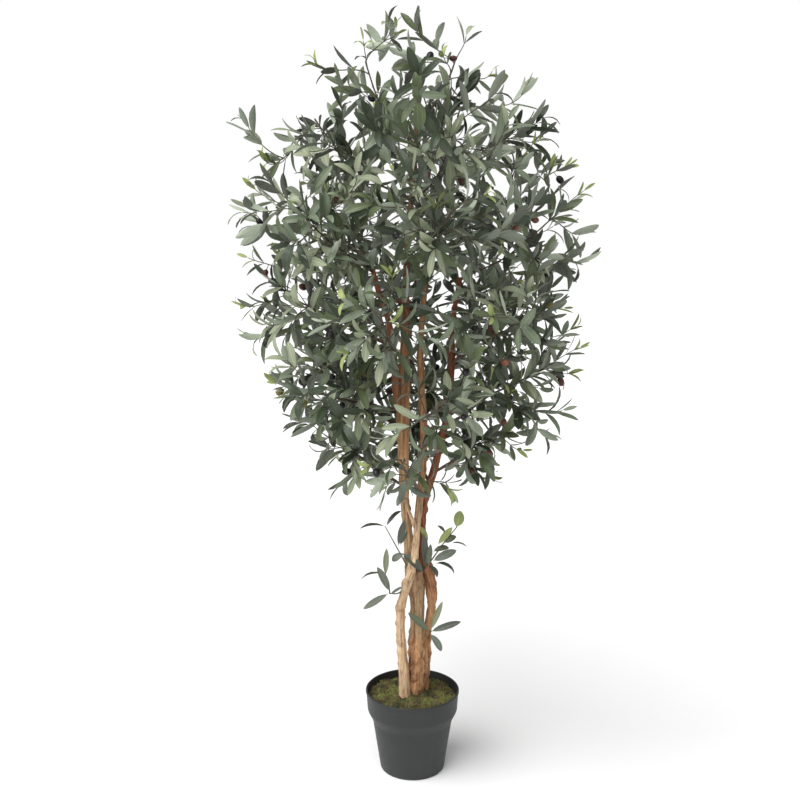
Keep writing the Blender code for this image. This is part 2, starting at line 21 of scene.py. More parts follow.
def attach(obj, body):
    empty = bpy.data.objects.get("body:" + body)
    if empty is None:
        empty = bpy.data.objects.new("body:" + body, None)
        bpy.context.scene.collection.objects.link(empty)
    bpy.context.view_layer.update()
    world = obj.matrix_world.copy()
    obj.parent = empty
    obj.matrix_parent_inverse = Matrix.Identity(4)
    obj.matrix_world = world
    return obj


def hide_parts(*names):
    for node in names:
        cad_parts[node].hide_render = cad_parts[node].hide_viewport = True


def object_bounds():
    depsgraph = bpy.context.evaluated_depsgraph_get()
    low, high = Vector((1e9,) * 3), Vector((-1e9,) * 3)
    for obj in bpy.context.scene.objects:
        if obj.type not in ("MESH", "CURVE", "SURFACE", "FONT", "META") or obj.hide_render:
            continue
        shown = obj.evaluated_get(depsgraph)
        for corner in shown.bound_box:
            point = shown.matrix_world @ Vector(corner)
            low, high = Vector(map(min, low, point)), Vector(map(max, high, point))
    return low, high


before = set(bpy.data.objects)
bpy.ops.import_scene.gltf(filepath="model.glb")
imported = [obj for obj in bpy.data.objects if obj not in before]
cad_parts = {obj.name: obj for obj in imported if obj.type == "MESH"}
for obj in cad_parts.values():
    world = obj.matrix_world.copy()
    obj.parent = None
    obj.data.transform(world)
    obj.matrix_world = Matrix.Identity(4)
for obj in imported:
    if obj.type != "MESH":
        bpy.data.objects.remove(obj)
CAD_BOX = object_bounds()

bl_info = {
    "name": "Olive Tree in a Pot",
    "version": (1, 0, 0),
    "blender": (4, 5, 0),
    "location": "3D View > Sidebar > Olive Tree",
    "description": "Builds the looks of a potted artificial olive tree around its packed frame",
    "category": "Object",
}

MERGE_DISTANCE = 1e-6
FULL_TURN = 2 * math.pi
UP = np.array((0.0, 0.0, 1.0))


# ---------------------------------------------------------------- pieces and shapes


def named(prefix):
    """The frame's nodes whose names start with the prefix, in order."""
    return sorted(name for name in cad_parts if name.startswith(prefix))


def add_piece(name, mesh, finishes, nodes=()):
    """Adds a mesh to the tree. It rides on the root, and stands for the frame's nodes given."""
    piece = bpy.data.objects.new(name, mesh)
    bpy.context.scene.collection.objects.link(piece)
    for finish in finishes:
        mesh.materials.append(finish)
    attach(piece, "root")
    if nodes:
        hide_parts(*nodes)
    return piece


def to_mesh(name, shape, smooth=True):
    """The bmesh as a mesh, and the bmesh is let go."""
    mesh = bpy.data.meshes.new(name)
    shape.to_mesh(mesh)
    shape.free()
    if smooth:
        mesh.shade_smooth()
    return mesh


def merged_copy(node):
    """A frame node's loose triangles as one joined-up bmesh."""
    shape = bmesh.new()
    shape.from_mesh(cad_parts[node].data)
    bmesh.ops.remove_doubles(shape, verts=shape.verts, dist=MERGE_DISTANCE)
    return shape


def unit(vector):
    """The vector at length one."""
    return vector / max(np.linalg.norm(vector), 1e-9)


def units(rows):
    """Each row at length one."""
    return rows / np.maximum(np.linalg.norm(rows, axis=-1, keepdims=True), 1e-9)


def bezier(start, first, second, end, count):
    """Points along a curve from start to end, drawn towards the two handles."""
    at = np.linspace(0.0, 1.0, count)[:, None]
    back = 1.0 - at
    return back**3 * start + 3 * back**2 * at * first + 3 * back * at**2 * second + at**3 * end


def interpolate(table, at):
    """A value from a table of (place, value) pairs."""
    return np.interp(at, *zip(*table))


class Line:
    """A centre line of evenly spaced points, with a radius at each."""

    def __init__(self, points, radii, step):
        points = np.asarray(points, float)
        gaps = np.linalg.norm(np.diff(points, axis=0), axis=1)
        run = np.concatenate(([0.0], np.cumsum(gaps)))
        self.length = run[-1]
        self.run = np.linspace(0.0, self.length, max(int(self.length / step) + 1, 3))
        self.points = np.stack([np.interp(self.run, run, points[:, k]) for k in range(3)], axis=1)
        self.radii = np.interp(self.run, run, radii)
        self.tangents = units(np.gradient(self.points, axis=0))

    def at(self, run):
        """The point and the direction at a distance along the line."""
        place = [np.interp(run, self.run, self.points[:, k]) for k in range(3)]
        heading = [np.interp(run, self.run, self.tangents[:, k]) for k in range(3)]
        return np.array(place), unit(np.array(heading))

    def sides(self):
        """Two directions square to the line at each point, which don't twist along it."""
        side = unit(np.cross(self.tangents[0], (0.31, 0.95, 0.02)))
        rows = []
        for tangent in self.tangents:
            side = unit(side - tangent * side.dot(tangent))
            rows.append(side)
        first = np.array(rows)
        return first, np.cross(self.tangents, first)


def smoothed(rows, rounds):
    """Rows of numbers with their bends eased, and their ends kept."""
    rows = np.array(rows, float)
    for _ in range(rounds):
        rows[1:-1] = (rows[:-2] + 2 * rows[1:-1] + rows[2:]) / 4
    return rows


# ---------------------------------------------------------------- materials


class Finish:
    """A material of one Principled shader, and the texture nodes that feed it."""

    def __init__(self, name, colour, roughness, **sockets):
        self.material = bpy.data.materials.new(name)
        self.material.use_nodes = True
        self.tree = self.material.node_tree
        self.shader = self.tree.nodes["Principled BSDF"]
        self.shader.inputs["Base Color"].default_value = (*colour, 1.0)
        self.shader.inputs["Roughness"].default_value = roughness
        for socket, value in sockets.items():
            self.shader.inputs[socket.replace("_", " ")].default_value = value
        self.material.diffuse_color = (*colour, 1.0)
        self.normal = None

    def node(self, kind, inputs=(), **settings):
        """A new node with its settings, its input values or links."""
        made = self.tree.nodes.new(kind)
        for setting, value in settings.items():
            setattr(made, setting, value)
        for socket, value in dict(inputs).items():
            if isinstance(value, bpy.types.NodeSocket):
                self.tree.links.new(value, made.inputs[socket])
            else:
                made.inputs[socket].default_value = value
        return made

    def place(self, stretch=(1.0, 1.0, 1.0)):
        """Object coordinates, stretched."""
        coordinates = self.node("ShaderNodeTexCoord")
        inputs = {"Vector": coordinates.outputs["Object"], "Scale": stretch}
        return self.node("ShaderNodeMapping", inputs).outputs["Vector"]

    def noise(self, scale, detail=3.0, roughness=0.55, stretch=(1.0, 1.0, 1.0)):
        """Fractal noise of a number of waves to the metre."""
        inputs = {"Vector": self.place(stretch), "Scale": scale, "Detail": detail, "Roughness": roughness}
        return self.node("ShaderNodeTexNoise", inputs).outputs["Fac"]

    def ramp(self, factor, *stops):
        """A factor turned into colours by stops of (place, colour)."""
        made = self.node("ShaderNodeValToRGB", {"Fac": factor})
        elements = made.color_ramp.elements
        while len(elements) < len(stops):
            elements.new(0.5)
        for element, (position, colour) in zip(elements, stops):
            element.position = position
            element.color = (*colour, 1.0)
        return made.outputs["Color"]

    def mix(self, factor, first, second, blend="MIX"):
        """Two colours mixed by a factor."""
        made = self.node("ShaderNodeMix", data_type="RGBA", blend_type=blend)
        for socket, value in zip((made.inputs[0], made.inputs[6], made.inputs[7]), (factor, first, second)):
            if isinstance(value, bpy.types.NodeSocket):
                self.tree.links.new(value, socket)
            else:
                socket.default_value = value
        return made.outputs[2]

    def spread(self, factor, low, high, from_low=0.3, from_high=0.7):
        """A factor spread over a range of numbers."""
        inputs = {"Value": factor, "From Min": from_low, "From Max": from_high}
        inputs.update({"To Min": low, "To Max": high})
        return self.node("ShaderNodeMapRange", inputs).outputs["Result"]

    def attribute(self, name):
        """A mesh attribute as a factor."""
        return self.node("ShaderNodeAttribute", attribute_name=name).outputs["Fac"]

    def colour(self, source):
        """Feeds the colour from a node."""
        self.tree.links.new(source, self.shader.inputs["Base Color"])
        return self

    def rough(self, source):
        """Feeds the roughness from a node."""
        self.tree.links.new(source, self.shader.inputs["Roughness"])
        return self

    def bump(self, height, distance, strength=1.0):
        """Adds relief of a real height on top of any bump already there."""
        inputs = {"Height": height, "Distance": distance, "Strength": strength}
        if self.normal is not None:
            inputs["Normal"] = self.normal
        self.normal = self.node("ShaderNodeBump", inputs).outputs["Normal"]
        self.tree.links.new(self.normal, self.shader.inputs["Normal"])
        return self


def scaled(colour, share):
    """A colour made lighter or darker."""
    return tuple(min(channel * share, 1.0) for channel in colour)


def pot_plastic(settings):
    """Dark grey moulded plastic, faintly grained and scuffed."""
    colour = tuple(settings.colour)
    finish = Finish("pot_plastic", colour, settings.roughness, Specular_IOR_Level=0.42)
    cloud = finish.noise(9.0, 4.0, stretch=(1.0, 1.0, 0.6))
    scuff = finish.noise(60.0, 5.0, 0.7, stretch=(1.0, 1.0, 4.0))
    body = finish.ramp(cloud, (0.35, scaled(colour, 0.88)), (0.65, scaled(colour, 1.1)))
    dusty = finish.mix(finish.spread(scuff, 0.0, 0.35, 0.58, 0.8), body, (*scaled(colour, 1.7), 1.0))
    finish.colour(dusty)
    finish.rough(finish.spread(scuff, settings.roughness - 0.05, settings.roughness + 0.1))
    finish.bump(finish.noise(1500.0, 2.0), 0.00006).bump(cloud, 0.0006, 0.5)
    return finish.material


def cement(name, colour):
    """Grey cement, pitted and cloudy."""
    finish = Finish(name, colour, 0.9)
    cloud = finish.noise(40.0, 5.0)
    finish.colour(finish.ramp(cloud, (0.35, scaled(colour, 0.75)), (0.68, scaled(colour, 1.2))))
    finish.bump(finish.noise(350.0, 4.0), 0.0006).bump(cloud, 0.001)
    return finish.material


def moss_cover(name, colour):
    """Dyed dried moss, mottled from green to brown, with painted shade in the hollows between its fibres.
    """
    finish = Finish(name, colour, 0.92, Sheen_Weight=0.15)
    patch = finish.noise(38.0, 4.0, 0.6)
    fibre = finish.noise(420.0, 4.0, 0.7)
    brown = (colour[0] * 1.4, colour[1] * 1.02, colour[2] * 1.3)
    mottled = finish.ramp(
        patch, (0.34, scaled(colour, 0.62)), (0.48, colour), (0.62, brown), (0.74, scaled(colour, 1.45))
    )
    # Painted shade: where the fibre noise, which also raises the bump, is low, the colour is darkened to a
    # third.
    painted_fibre_shade = finish.ramp(fibre, (0.3, (0.35, 0.35, 0.35)), (0.65, (1.0, 1.0, 1.0)))
    finish.colour(finish.mix(1.0, mottled, painted_fibre_shade, "MULTIPLY"))
    finish.bump(fibre, 0.0018).bump(finish.noise(150.0, 3.0), 0.003)
    return finish.material


def peeled_wood(name, stops):
    """Bare wood with lengthwise grain, its colour changing by stops of (height, colour)."""
    finish = Finish(name, stops[0][1], 0.68, Specular_IOR_Level=0.3)
    height = finish.node("ShaderNodeSeparateXYZ", {"Vector": finish.place()}).outputs["Z"]
    cloud = finish.noise(26.0, 3.0, stretch=(1.0, 1.0, 0.45))
    grain = finish.noise(330.0, 4.0, 0.6, stretch=(1.0, 1.0, 0.09))
    fleck = finish.noise(210.0, 4.0, 0.65, stretch=(1.0, 1.0, 0.5))
    drift = finish.spread(cloud, -WOOD_COLOUR_DRIFT, WOOD_COLOUR_DRIFT)
    wander = finish.node("ShaderNodeMath", {0: height, 1: drift}, operation="ADD")
    rise = finish.spread(wander.outputs["Value"], 0.0, 1.0, 0.0, WOOD_TOP)
    plain = finish.ramp(rise, *((stop / WOOD_TOP, colour) for stop, colour in stops))
    shade = finish.ramp(cloud, (0.3, (0.66, 0.58, 0.5)), (0.62, (1.05, 1.05, 1.05)))
    clouded = finish.mix(1.0, plain, shade, "MULTIPLY")
    streaks = finish.ramp(
        grain, (0.3, (0.5, 0.42, 0.34)), (0.5, (0.9, 0.88, 0.85)), (0.7, (1.15, 1.12, 1.08))
    )
    streaked = finish.mix(0.9, clouded, streaks, "MULTIPLY")
    flecks = finish.ramp(fleck, (0.3, (0.45, 0.34, 0.26)), (0.42, (1.0, 1.0, 1.0)))
    flecked = finish.mix(0.75, streaked, flecks, "MULTIPLY")
    # The mesh's attribute gives the branch scars and knobs their reddish brown, and also darkens the
    # hollows, the creases and the knobs' feet with it as painted shade.
    finish.colour(finish.mix(finish.attribute("scar_and_shade"), flecked, (*SCAR_AND_SHADE_COLOUR, 1.0)))
    finish.rough(finish.spread(grain, 0.78, 0.58))
    finish.bump(grain, 0.0008).bump(fleck, 0.0005)
    return finish.material


def wrapped_twig(name, colour):
    """Thin boughs and twigs: plastic over wire, coloured like young bark."""
    finish = Finish(name, colour, 0.62)
    cloud = finish.noise(45.0, 3.0)
    grain = finish.noise(500.0, 3.0, 0.6)
    finish.colour(finish.ramp(cloud, (0.35, scaled(colour, 0.7)), (0.65, scaled(colour, 1.25))))
    finish.bump(grain, 0.0004).bump(cloud, 0.0008)
    return finish.material


def twig_wrap(name, colour):
    """The plastic wrap of the thinnest twigs. Its colour is plain."""
    finish = Finish(name, colour, 0.6, Specular_IOR_Level=0.35)
    grain = finish.noise(500.0, 3.0, 0.6)
    finish.rough(finish.spread(grain, 0.5, 0.72))
    finish.bump(grain, 0.0004)
    return finish.material


def moss_frond(name, colour):
    """A moss frond's dyed fibre. Its colour is plain, and is dealt out by frond."""
    finish = Finish(name, colour, 0.9, Sheen_Weight=0.15)
    fibre = finish.noise(900.0, 2.0, 0.6)
    finish.rough(finish.spread(fibre, 0.8, 1.0))
    finish.bump(fibre, 0.0004)
    return finish.material


def leaf_cloth(name, colour, roughness):
    """Dyed leaf cloth with a pressed grain. Its colour is plain, and is dealt out by spray."""
    finish = Finish(name, colour, roughness, Specular_IOR_Level=0.5, Sheen_Weight=0.03)
    pressed = finish.noise(240.0, 2.0, 0.5)
    finish.rough(finish.spread(pressed, roughness - 0.1, roughness + 0.12))
    finish.bump(pressed, 0.0005, 0.6).bump(finish.noise(1400.0, 2.0), 0.00012)
    return finish.material


def olive_skin(name, colour):
    """The waxed skin of an artificial olive. Its colour is plain, and is dealt out by fruit."""
    finish = Finish(name, colour, 0.32, Specular_IOR_Level=0.4)
    speckle = finish.noise(900.0, 2.0)
    finish.rough(finish.spread(speckle, 0.26, 0.42))
    finish.bump(speckle, 0.00008)
    return finish.material


# ---------------------------------------------------------------- pot, fill and moss

POT_HEIGHT = 0.169
RIM_RADIUS = 0.0955
LIP_HEIGHT = 0.0055
LIP_DEPTH = 0.0012
COLLAR_FOOT = 0.127
COLLAR_FOOT_RADIUS = 0.092
STEP_FOOT = 0.106
STEP_FOOT_RADIUS = 0.0815
FOOT_RADIUS = 0.0655
FOOT_RING = 0.0070
RECESS = 0.0012
POT_WALL = 0.0022
POT_FLOOR = 0.003
# Roundings of the pot's corners, from the underside out, up and over the rim.
RECESS_ROUNDING = 0.0008
RING_ROUNDING = 0.0006
HEEL_ROUNDING = 0.0045
STEP_ROUNDING = 0.036
COLLAR_ROUNDING = 0.024
LIP_ROUNDING = 0.0006
LIP_EDGE_ROUNDING = 0.0005
RIM_ROUNDING = 0.0012
MOUTH_ROUNDING = 0.001
INNER_ROUNDING = 0.002
POT_CREASE = math.radians(50)
ROUND_STEPS = 6
FILL_TOP = 0.146
MOSS_RADIUS = 0.0905
MOSS_EDGE = 0.153
MOSS_CROWN = 0.158
MOSS_SKIRT = 0.0005
MOSS_TAPER = 0.003
MOSS_RINGS = 46
MOSS_SIDES = 150
# Each size of lump: its height, its waves to the metre, and where its noise is cut.
MOSS_LUMPS = ((0.0058, 55.0, 0.3), (0.0026, 150.0, 1.7), (0.0011, 420.0, 4.1))
HEAP_HEIGHT = 0.005
HEAP_REACH = 0.016
HEAP_LIMIT = 0.006
TUCK_DEPTH = 0.003
TUCK_START = 0.93
ROOTED_STEMS = ("stem_front", "stem_main", "stem_right")
FROND_SIZES = (0.003, 0.0068)
FROND_SPREAD = 0.985
FROND_SINK = 0.25
FROND_LEAN = 0.8
PATCH_WAVES = 48.0
PATCH_STRENGTH = 1.3
PATCH_BLUR = 0.09
PATCH_EDGES = (-0.27, -0.02, 0.24)


def rounded(corners):
    """An outline's points, its corners (radius, height, rounding) turned into arcs."""
    points = []
    for i, (radius, height, rounding) in enumerate(corners):
        here = Vector((radius, height))
        if rounding == 0:
            points.append(here)
            continue
        before = (Vector(corners[i - 1][:2]) - here).normalized()
        after = (Vector(corners[i + 1][:2]) - here).normalized()
        half = before.angle(after) / 2
        centre = here + (before + after).normalized() * rounding / math.sin(half)
        start = here + before * rounding / math.tan(half) - centre
        end = here + after * rounding / math.tan(half) - centre
        for k in range(ROUND_STEPS + 1):
            points.append(centre + start.lerp(end, k / ROUND_STEPS).normalized() * rounding)
    return points


def spun(profile, steps):
    """A closed bmesh turned about the Z axis from a profile that starts and ends on it."""
    shape = bmesh.new()
    verts = [shape.verts.new((radius, 0.0, height)) for radius, height in profile]
    edges = [shape.edges.new(pair) for pair in zip(verts, verts[1:])]
    bmesh.ops.spin(
        shape,
        geom=[*verts, *edges],
        cent=(0.0, 0.0, 0.0),
        axis=(0.0, 0.0, 1.0),
        angle=FULL_TURN,
        steps=steps,
        use_merge=True,
    )
    bmesh.ops.remove_doubles(shape, verts=shape.verts, dist=MERGE_DISTANCE)
    bmesh.ops.recalc_face_normals(shape, faces=shape.faces)
    return shape


def make_pot(settings):
    """The nursery pot: lip, collar, sloping step, tapered side and a foot ring, as one shell."""
    lip_foot = POT_HEIGHT - LIP_HEIGHT
    collar_top = RIM_RADIUS - LIP_DEPTH
    inner_rim = RIM_RADIUS - LIP_DEPTH - POT_WALL
    profile = rounded(
        [
            (0.0, RECESS, 0),
            (FOOT_RADIUS - FOOT_RING - RECESS, RECESS, RECESS_ROUNDING),
            (FOOT_RADIUS - FOOT_RING, 0.0, RING_ROUNDING),
            (FOOT_RADIUS, 0.0, HEEL_ROUNDING),
            (STEP_FOOT_RADIUS, STEP_FOOT, STEP_ROUNDING),
            (COLLAR_FOOT_RADIUS, COLLAR_FOOT, COLLAR_ROUNDING),
            (collar_top, lip_foot, LIP_ROUNDING),
            (RIM_RADIUS, lip_foot + LIP_ROUNDING, LIP_EDGE_ROUNDING),
            (RIM_RADIUS, POT_HEIGHT, RIM_ROUNDING),
            (inner_rim, POT_HEIGHT, MOUTH_ROUNDING),
            (COLLAR_FOOT_RADIUS - POT_WALL, COLLAR_FOOT, INNER_ROUNDING),
            (STEP_FOOT_RADIUS - POT_WALL, STEP_FOOT, INNER_ROUNDING),
            (FOOT_RADIUS - POT_WALL, POT_FLOOR, INNER_ROUNDING),
            (0.0, POT_FLOOR, 0),
        ]
    )
    mesh = to_mesh("plastic_pot", spun(profile, settings.sides))
    mesh.set_sharp_from_angle(angle=POT_CREASE)
    return add_piece("plastic_pot", mesh, [pot_plastic(settings)], ["pot"])


def finish_fill(settings):
    """Gives the cement, whose packed shape is kept, its finish."""
    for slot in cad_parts["pot_fill"].material_slots:
        slot.material = cement("cement", tuple(settings.cement_colour))


def moss_height(x, y, stem_feet):
    """The moss's height at a place: a low dome with lumps, heaped a little round the stems."""
    out = math.hypot(x, y) / MOSS_RADIUS
    dome = MOSS_CROWN - (MOSS_CROWN - MOSS_EDGE) * min(out, 1.0) ** 2
    lumps = sum(height * noise.noise(Vector((x, y, cut)) * waves) for height, waves, cut in MOSS_LUMPS)
    gaps = [math.hypot(x - a, y - b) / HEAP_REACH for a, b in stem_feet]
    heap = sum(HEAP_HEIGHT * math.exp(-(gap**2)) for gap in gaps)
    tuck = TUCK_DEPTH * max(out - TUCK_START, 0.0) / (1.0 - TUCK_START)
    return dome + lumps + min(heap, HEAP_LIMIT) - tuck


def moss_spike():
    """One frond: a three-sided spike one unit long, swollen and curled."""
    spike = bmesh.new()
    bmesh.ops.create_cone(spike, cap_ends=True, segments=3, radius1=0.15, radius2=0.03, depth=1.0)
    rungs = [e for e in spike.edges if abs(e.verts[0].co.z - e.verts[1].co.z) > 0.5]
    bmesh.ops.subdivide_edges(spike, edges=rungs, cuts=2, use_grid_fill=True)
    for vert in spike.verts:
        rise = vert.co.z + 0.5
        swell = 1.0 + 1.3 * math.sin(math.pi * min(rise, 1.0))
        vert.co = ((vert.co.x * swell) + 0.35 * rise**2, vert.co.y * swell, rise)
    bmesh.ops.triangulate(spike, faces=spike.faces)
    return to_mesh("moss_spike", spike)


def moss_tufts(settings, height_at):
    """Short curled moss fronds, joined, their tones dealt out in patches."""
    rng = random.Random(settings.seed)
    turns, places = [], []
    for _ in range(settings.fronds):
        radius = MOSS_RADIUS * math.sqrt(rng.random()) * FROND_SPREAD
        angle = rng.uniform(0.0, FULL_TURN)
        x, y = radius * math.cos(angle), radius * math.sin(angle)
        lean = unit(np.array((rng.gauss(0.0, FROND_LEAN), rng.gauss(0.0, FROND_LEAN), 1.0)))
        side = unit(np.cross(lean, [rng.gauss(0, 1) for _ in range(3)]))
        size = rng.uniform(*FROND_SIZES)
        turns.append(np.stack((side, np.cross(lean, side), lean), axis=1) * size)
        places.append((x, y, height_at(x, y) - FROND_SINK * size))
    tones = []
    for x, y, _ in places:
        patch = PATCH_STRENGTH * noise.noise(Vector((x, y, 2.2)) * PATCH_WAVES) + rng.gauss(0.0, PATCH_BLUR)
        tones.append(int(np.searchsorted(PATCH_EDGES, patch)))
    return joined_copies("moss_fronds", [moss_spike()], turns, places, [0] * len(places), tones)


def make_moss(settings):
    """The mossy cushion and its fronds, which fill the pot's mouth round the stems."""
    feet = [tuple(limb_line(name).points[0][:2]) for name in ROOTED_STEMS]
    height_at = functools.partial(moss_height, stem_feet=feet)
    top = [(MOSS_RADIUS * k / MOSS_RINGS, MOSS_CROWN) for k in range(MOSS_RINGS + 1)]
    under = FILL_TOP + MOSS_SKIRT
    cushion = spun([*top, (MOSS_RADIUS - MOSS_TAPER, under), (0.0, under)], MOSS_SIDES)
    for vert in cushion.verts:
        if vert.co.z > under + MOSS_SKIRT:
            vert.co.z = height_at(vert.co.x, vert.co.y)
    colour = tuple(settings.colour)
    mesh = to_mesh("moss_cushion", cushion)
    add_piece("moss_cushion", mesh, [moss_cover("moss_bed", colour)], ["moss"])
    brown = (colour[0] * 1.15, colour[1] * 0.72, colour[2] * 1.2)
    tones = (scaled(colour, 0.45), brown, colour, scaled(colour, 1.6))
    finishes = [moss_frond(f"moss_frond_{k + 1}", tone) for k, tone in enumerate(tones)]
    add_piece("moss_fronds", moss_tufts(settings, height_at), finishes, ["moss"])


# ---------------------------------------------------------------- stems and boughs

WOOD_TOP = 1.5
WOOD_COLOUR_DRIFT = 0.04
# The reddish brown of the branch scars, also used as painted shade in the stems' hollows and creases.
SCAR_AND_SHADE_COLOUR = (0.15, 0.060, 0.030)
STEM_KNOT = 0.0050
BOUGH_KNOT = 0.0022
BOUGH_KNOT_SPACING = 0.035
KNOT_HOLLOW = 0.55
BURL_HOLLOWS = (0.0, 0.4)
SCAR_HEIGHT = 0.85
SCAR_HOLLOW = 0.35
BOUGH_RELIEF = 0.16
BOUGH_TIP = 0.0013
BOUGH_HANDLE = 0.35
BOUGH_POINTS = 12
# A bough is carried on to between its mass's middle and far part, which at the crown's top is its top.
MIDDLE_SHARE = 0.45
FAR_SHARE = 0.55
TOP_START = 1.25
TOP_PULL = 2.0
# Shares of a limb's relief that its kinds of unevenness take.
RIDGE_SHARE = 0.62
FINE_SHARE = 0.3
PIT_SHARE = 0.16
LUMP_SHARE = 0.75
CREASE_SHARE = 0.45
# The most that the scar colour and painted shade may cover a point.
MOST_SCAR_AND_SHADE = 0.85
KNOBBLY_EASING = 12
SLICED_SHARES = (0.015, 0.985)
STEM_SLICES = 34
BOUGH_SLICES = 12
END_REACH = 0.7
STEM_STEP = 0.0028
BOUGH_STEP = 0.0045
STEM_SIDES = 36
BOUGH_SIDES = 12


class Knot(NamedTuple):
    """A knob: where it is along and round the limb, its size, its height, and how hollow its top is."""

    run: float
    angle: float
    size: float
    height: float
    hollow: float


class Burl(NamedTuple):
    """A knobbly length of a stem: from one height to another, with a number of knobs of a size."""

    low: float
    high: float
    count: int
    size: float


class Scar(NamedTuple):
    """A branch scar on a stem: its height, how far it faces right and back, and its size."""

    height: float
    to_right: float
    to_back: float
    size: float


# How much thicker each stem is than its packed solid, by height.
GIRTHS = {
    "stem_main": (
        (0.15, 1.30), (0.25, 1.36), (0.31, 1.08), (0.355, 1.08), (0.385, 1.38), (0.425, 1.45), (0.47, 1.1),
        (0.62, 1.05), (0.74, 1.3), (0.81, 1.45), (0.89, 1.15), (1.0, 1.0),
    ),
    "stem_right": (
        (0.15, 1.35), (0.25, 1.30), (0.31, 1.0), (0.345, 1.08), (0.37, 1.42), (0.43, 1.5), (0.47, 1.15),
        (0.55, 1.0),
    ),
    "stem_front": ((0.15, 1.12), (0.28, 1.0), (1.0, 1.0)),
}
# How far each stem leans to the right of its packed solid, by height.
SHIFTS = {
    "stem_main": ((0.24, 0.0), (0.28, 0.0016), (0.36, 0.0016), (0.40, 0.0)),
    "stem_right": (
        (0.22, -0.002), (0.27, -0.004), (0.305, -0.003), (0.335, 0.0), (0.36, 0.0005), (0.39, -0.0015),
        (0.44, -0.0045), (0.50, -0.003), (0.56, -0.003), (0.62, 0.0),
    ),
}
BURLS = {
    "stem_main": (
        Burl(0.16, 0.29, 34, 0.0062),
        Burl(0.37, 0.46, 18, 0.0050),
        Burl(0.52, 0.62, 7, 0.0042),
    ),
    "stem_right": (
        Burl(0.16, 0.28, 18, 0.0052),
        Burl(0.30, 0.45, 18, 0.0042),
        Burl(0.50, 0.60, 7, 0.0040),
    ),
    "stem_front": (Burl(0.28, 0.36, 9, 0.0032), Burl(0.39, 0.46, 12, 0.0048)),
}
SCARS = {
    "stem_front": (
        Scar(0.347, -1.0, -0.3, 0.0058),
        Scar(0.276, 0.1, -1.0, 0.0056),
        Scar(0.315, -1.0, 0.1, 0.0038),
        Scar(0.23, -1.0, -0.2, 0.003),
    ),
    "stem_main": (
        Scar(0.29, -1.0, -0.3, 0.0052),
        Scar(0.24, 0.3, -1.0, 0.006),
        Scar(0.205, -0.2, -1.0, 0.005),
    ),
    "stem_right": (
        Scar(0.545, 1.0, -0.2, 0.0060),
        Scar(0.27, 1.0, -0.5, 0.005),
        Scar(0.235, 1.0, -0.2, 0.0055),
    ),
}
PALE, BROWN, ORANGE, RED = range(4)
# The stems' colours from the foot up: (height, share of the wood's colour, wood).
WOOD_STOPS = {
    "stem_front": (
        (0.15, 1.25, PALE), (0.44, 1.12, PALE), (0.49, 1.3, PALE), (0.56, 1.6, BROWN), (0.64, 1.35, ORANGE),
        (1.05, 0.9, ORANGE),
    ),
    "stem_main": (
        (0.15, 1.6, ORANGE), (0.26, 1.6, ORANGE), (0.30, 1.4, BROWN), (0.44, 1.3, BROWN),
        (0.50, 2.1, BROWN), (0.59, 2.0, BROWN), (0.70, 1.45, ORANGE), (0.82, 1.3, ORANGE),
        (0.95, 1.1, RED), (1.12, 0.9, BROWN),
    ),
    "stem_right": (
        (0.15, 1.45, ORANGE), (0.34, 1.35, ORANGE), (0.46, 1.6, RED), (0.72, 1.1, RED), (1.0, 1.0, RED),
    ),
    "fork_left": ((0.7, 1.1, ORANGE), (0.9, 1.5, RED), (1.1, 1.1, RED)),
    "stem_link": ((0.4, 1.2, PALE), (0.6, 1.2, PALE)),
}


def is_stem(node):
    """True for a stem or fork, which grows up, and false for a bough, which grows outwards."""
    return node.startswith(("stem", "fork"))


def sections(node, count):
    """Centres and radii of slices square to a limb's long axis, from its foot to its tip."""
    shape = merged_copy(node)
    points = np.array([vert.co for vert in shape.verts])
    middle = points.mean(0)
    axis = np.linalg.eigh(np.cov((points - middle).T))[1][:, -1]
    ends = [points[np.argmax(points @ axis * way)] for way in (-1, 1)]
    if is_stem(node):
        tip_first = ends[0][2] > ends[1][2]
    else:
        tip_first = math.hypot(*ends[0][:2]) > math.hypot(*ends[1][:2])
    if tip_first:
        axis = -axis
    offsets = (points - middle) @ axis
    centres, rims = [], []
    for share in np.linspace(*SLICED_SHARES, count):
        offset = offsets.min() + share * (offsets.max() - offsets.min())
        cut = shape.copy()
        geometry = [*cut.verts, *cut.edges, *cut.faces]
        done = bmesh.ops.bisect_plane(cut, geom=geometry, plane_co=middle + axis * offset, plane_no=axis)
        rim = np.array([g.co for g in done["geom_cut"] if isinstance(g, bmesh.types.BMVert)])
        cut.free()
        if len(rim) > 2:
            centres.append((rim.min(0) + rim.max(0)) / 2)
            rims.append(rim)
    shape.free()
    centres = smoothed(centres, 2)
    tangents = units(np.gradient(centres, axis=0))
    radii = []
    for centre, tangent, rim in zip(centres, tangents, rims):
        spokes = rim - centre
        radii.append(np.linalg.norm(spokes - np.outer(spokes @ tangent, tangent), axis=1).mean())
    return centres, smoothed(radii, 2)


@functools.cache
def limb_line(node):
    """A stem's or bough's centre line, read off its packed solid."""
    centres, radii = sections(node, STEM_SLICES if is_stem(node) else BOUGH_SLICES)
    step = STEM_STEP if is_stem(node) else BOUGH_STEP
    first = centres[0] - (centres[1] - centres[0]) * END_REACH
    last = centres[-1] + (centres[-1] - centres[-2]) * END_REACH
    return Line([first, *centres, last], [radii[0], *radii, radii[-1]], step)


def limb_knots(length, rng, spacing, size):
    """Branch scars dealt out along a limb."""
    knots = []
    run = rng.uniform(0.3, 1.0) * spacing
    while run < length:
        angle = rng.uniform(0, FULL_TURN)
        width, height = size * rng.uniform(0.7, 1.3), size * rng.uniform(0.35, 0.75)
        knots.append(Knot(run, angle, width, height, KNOT_HOLLOW))
        run += spacing * rng.uniform(0.5, 1.5)
    return knots


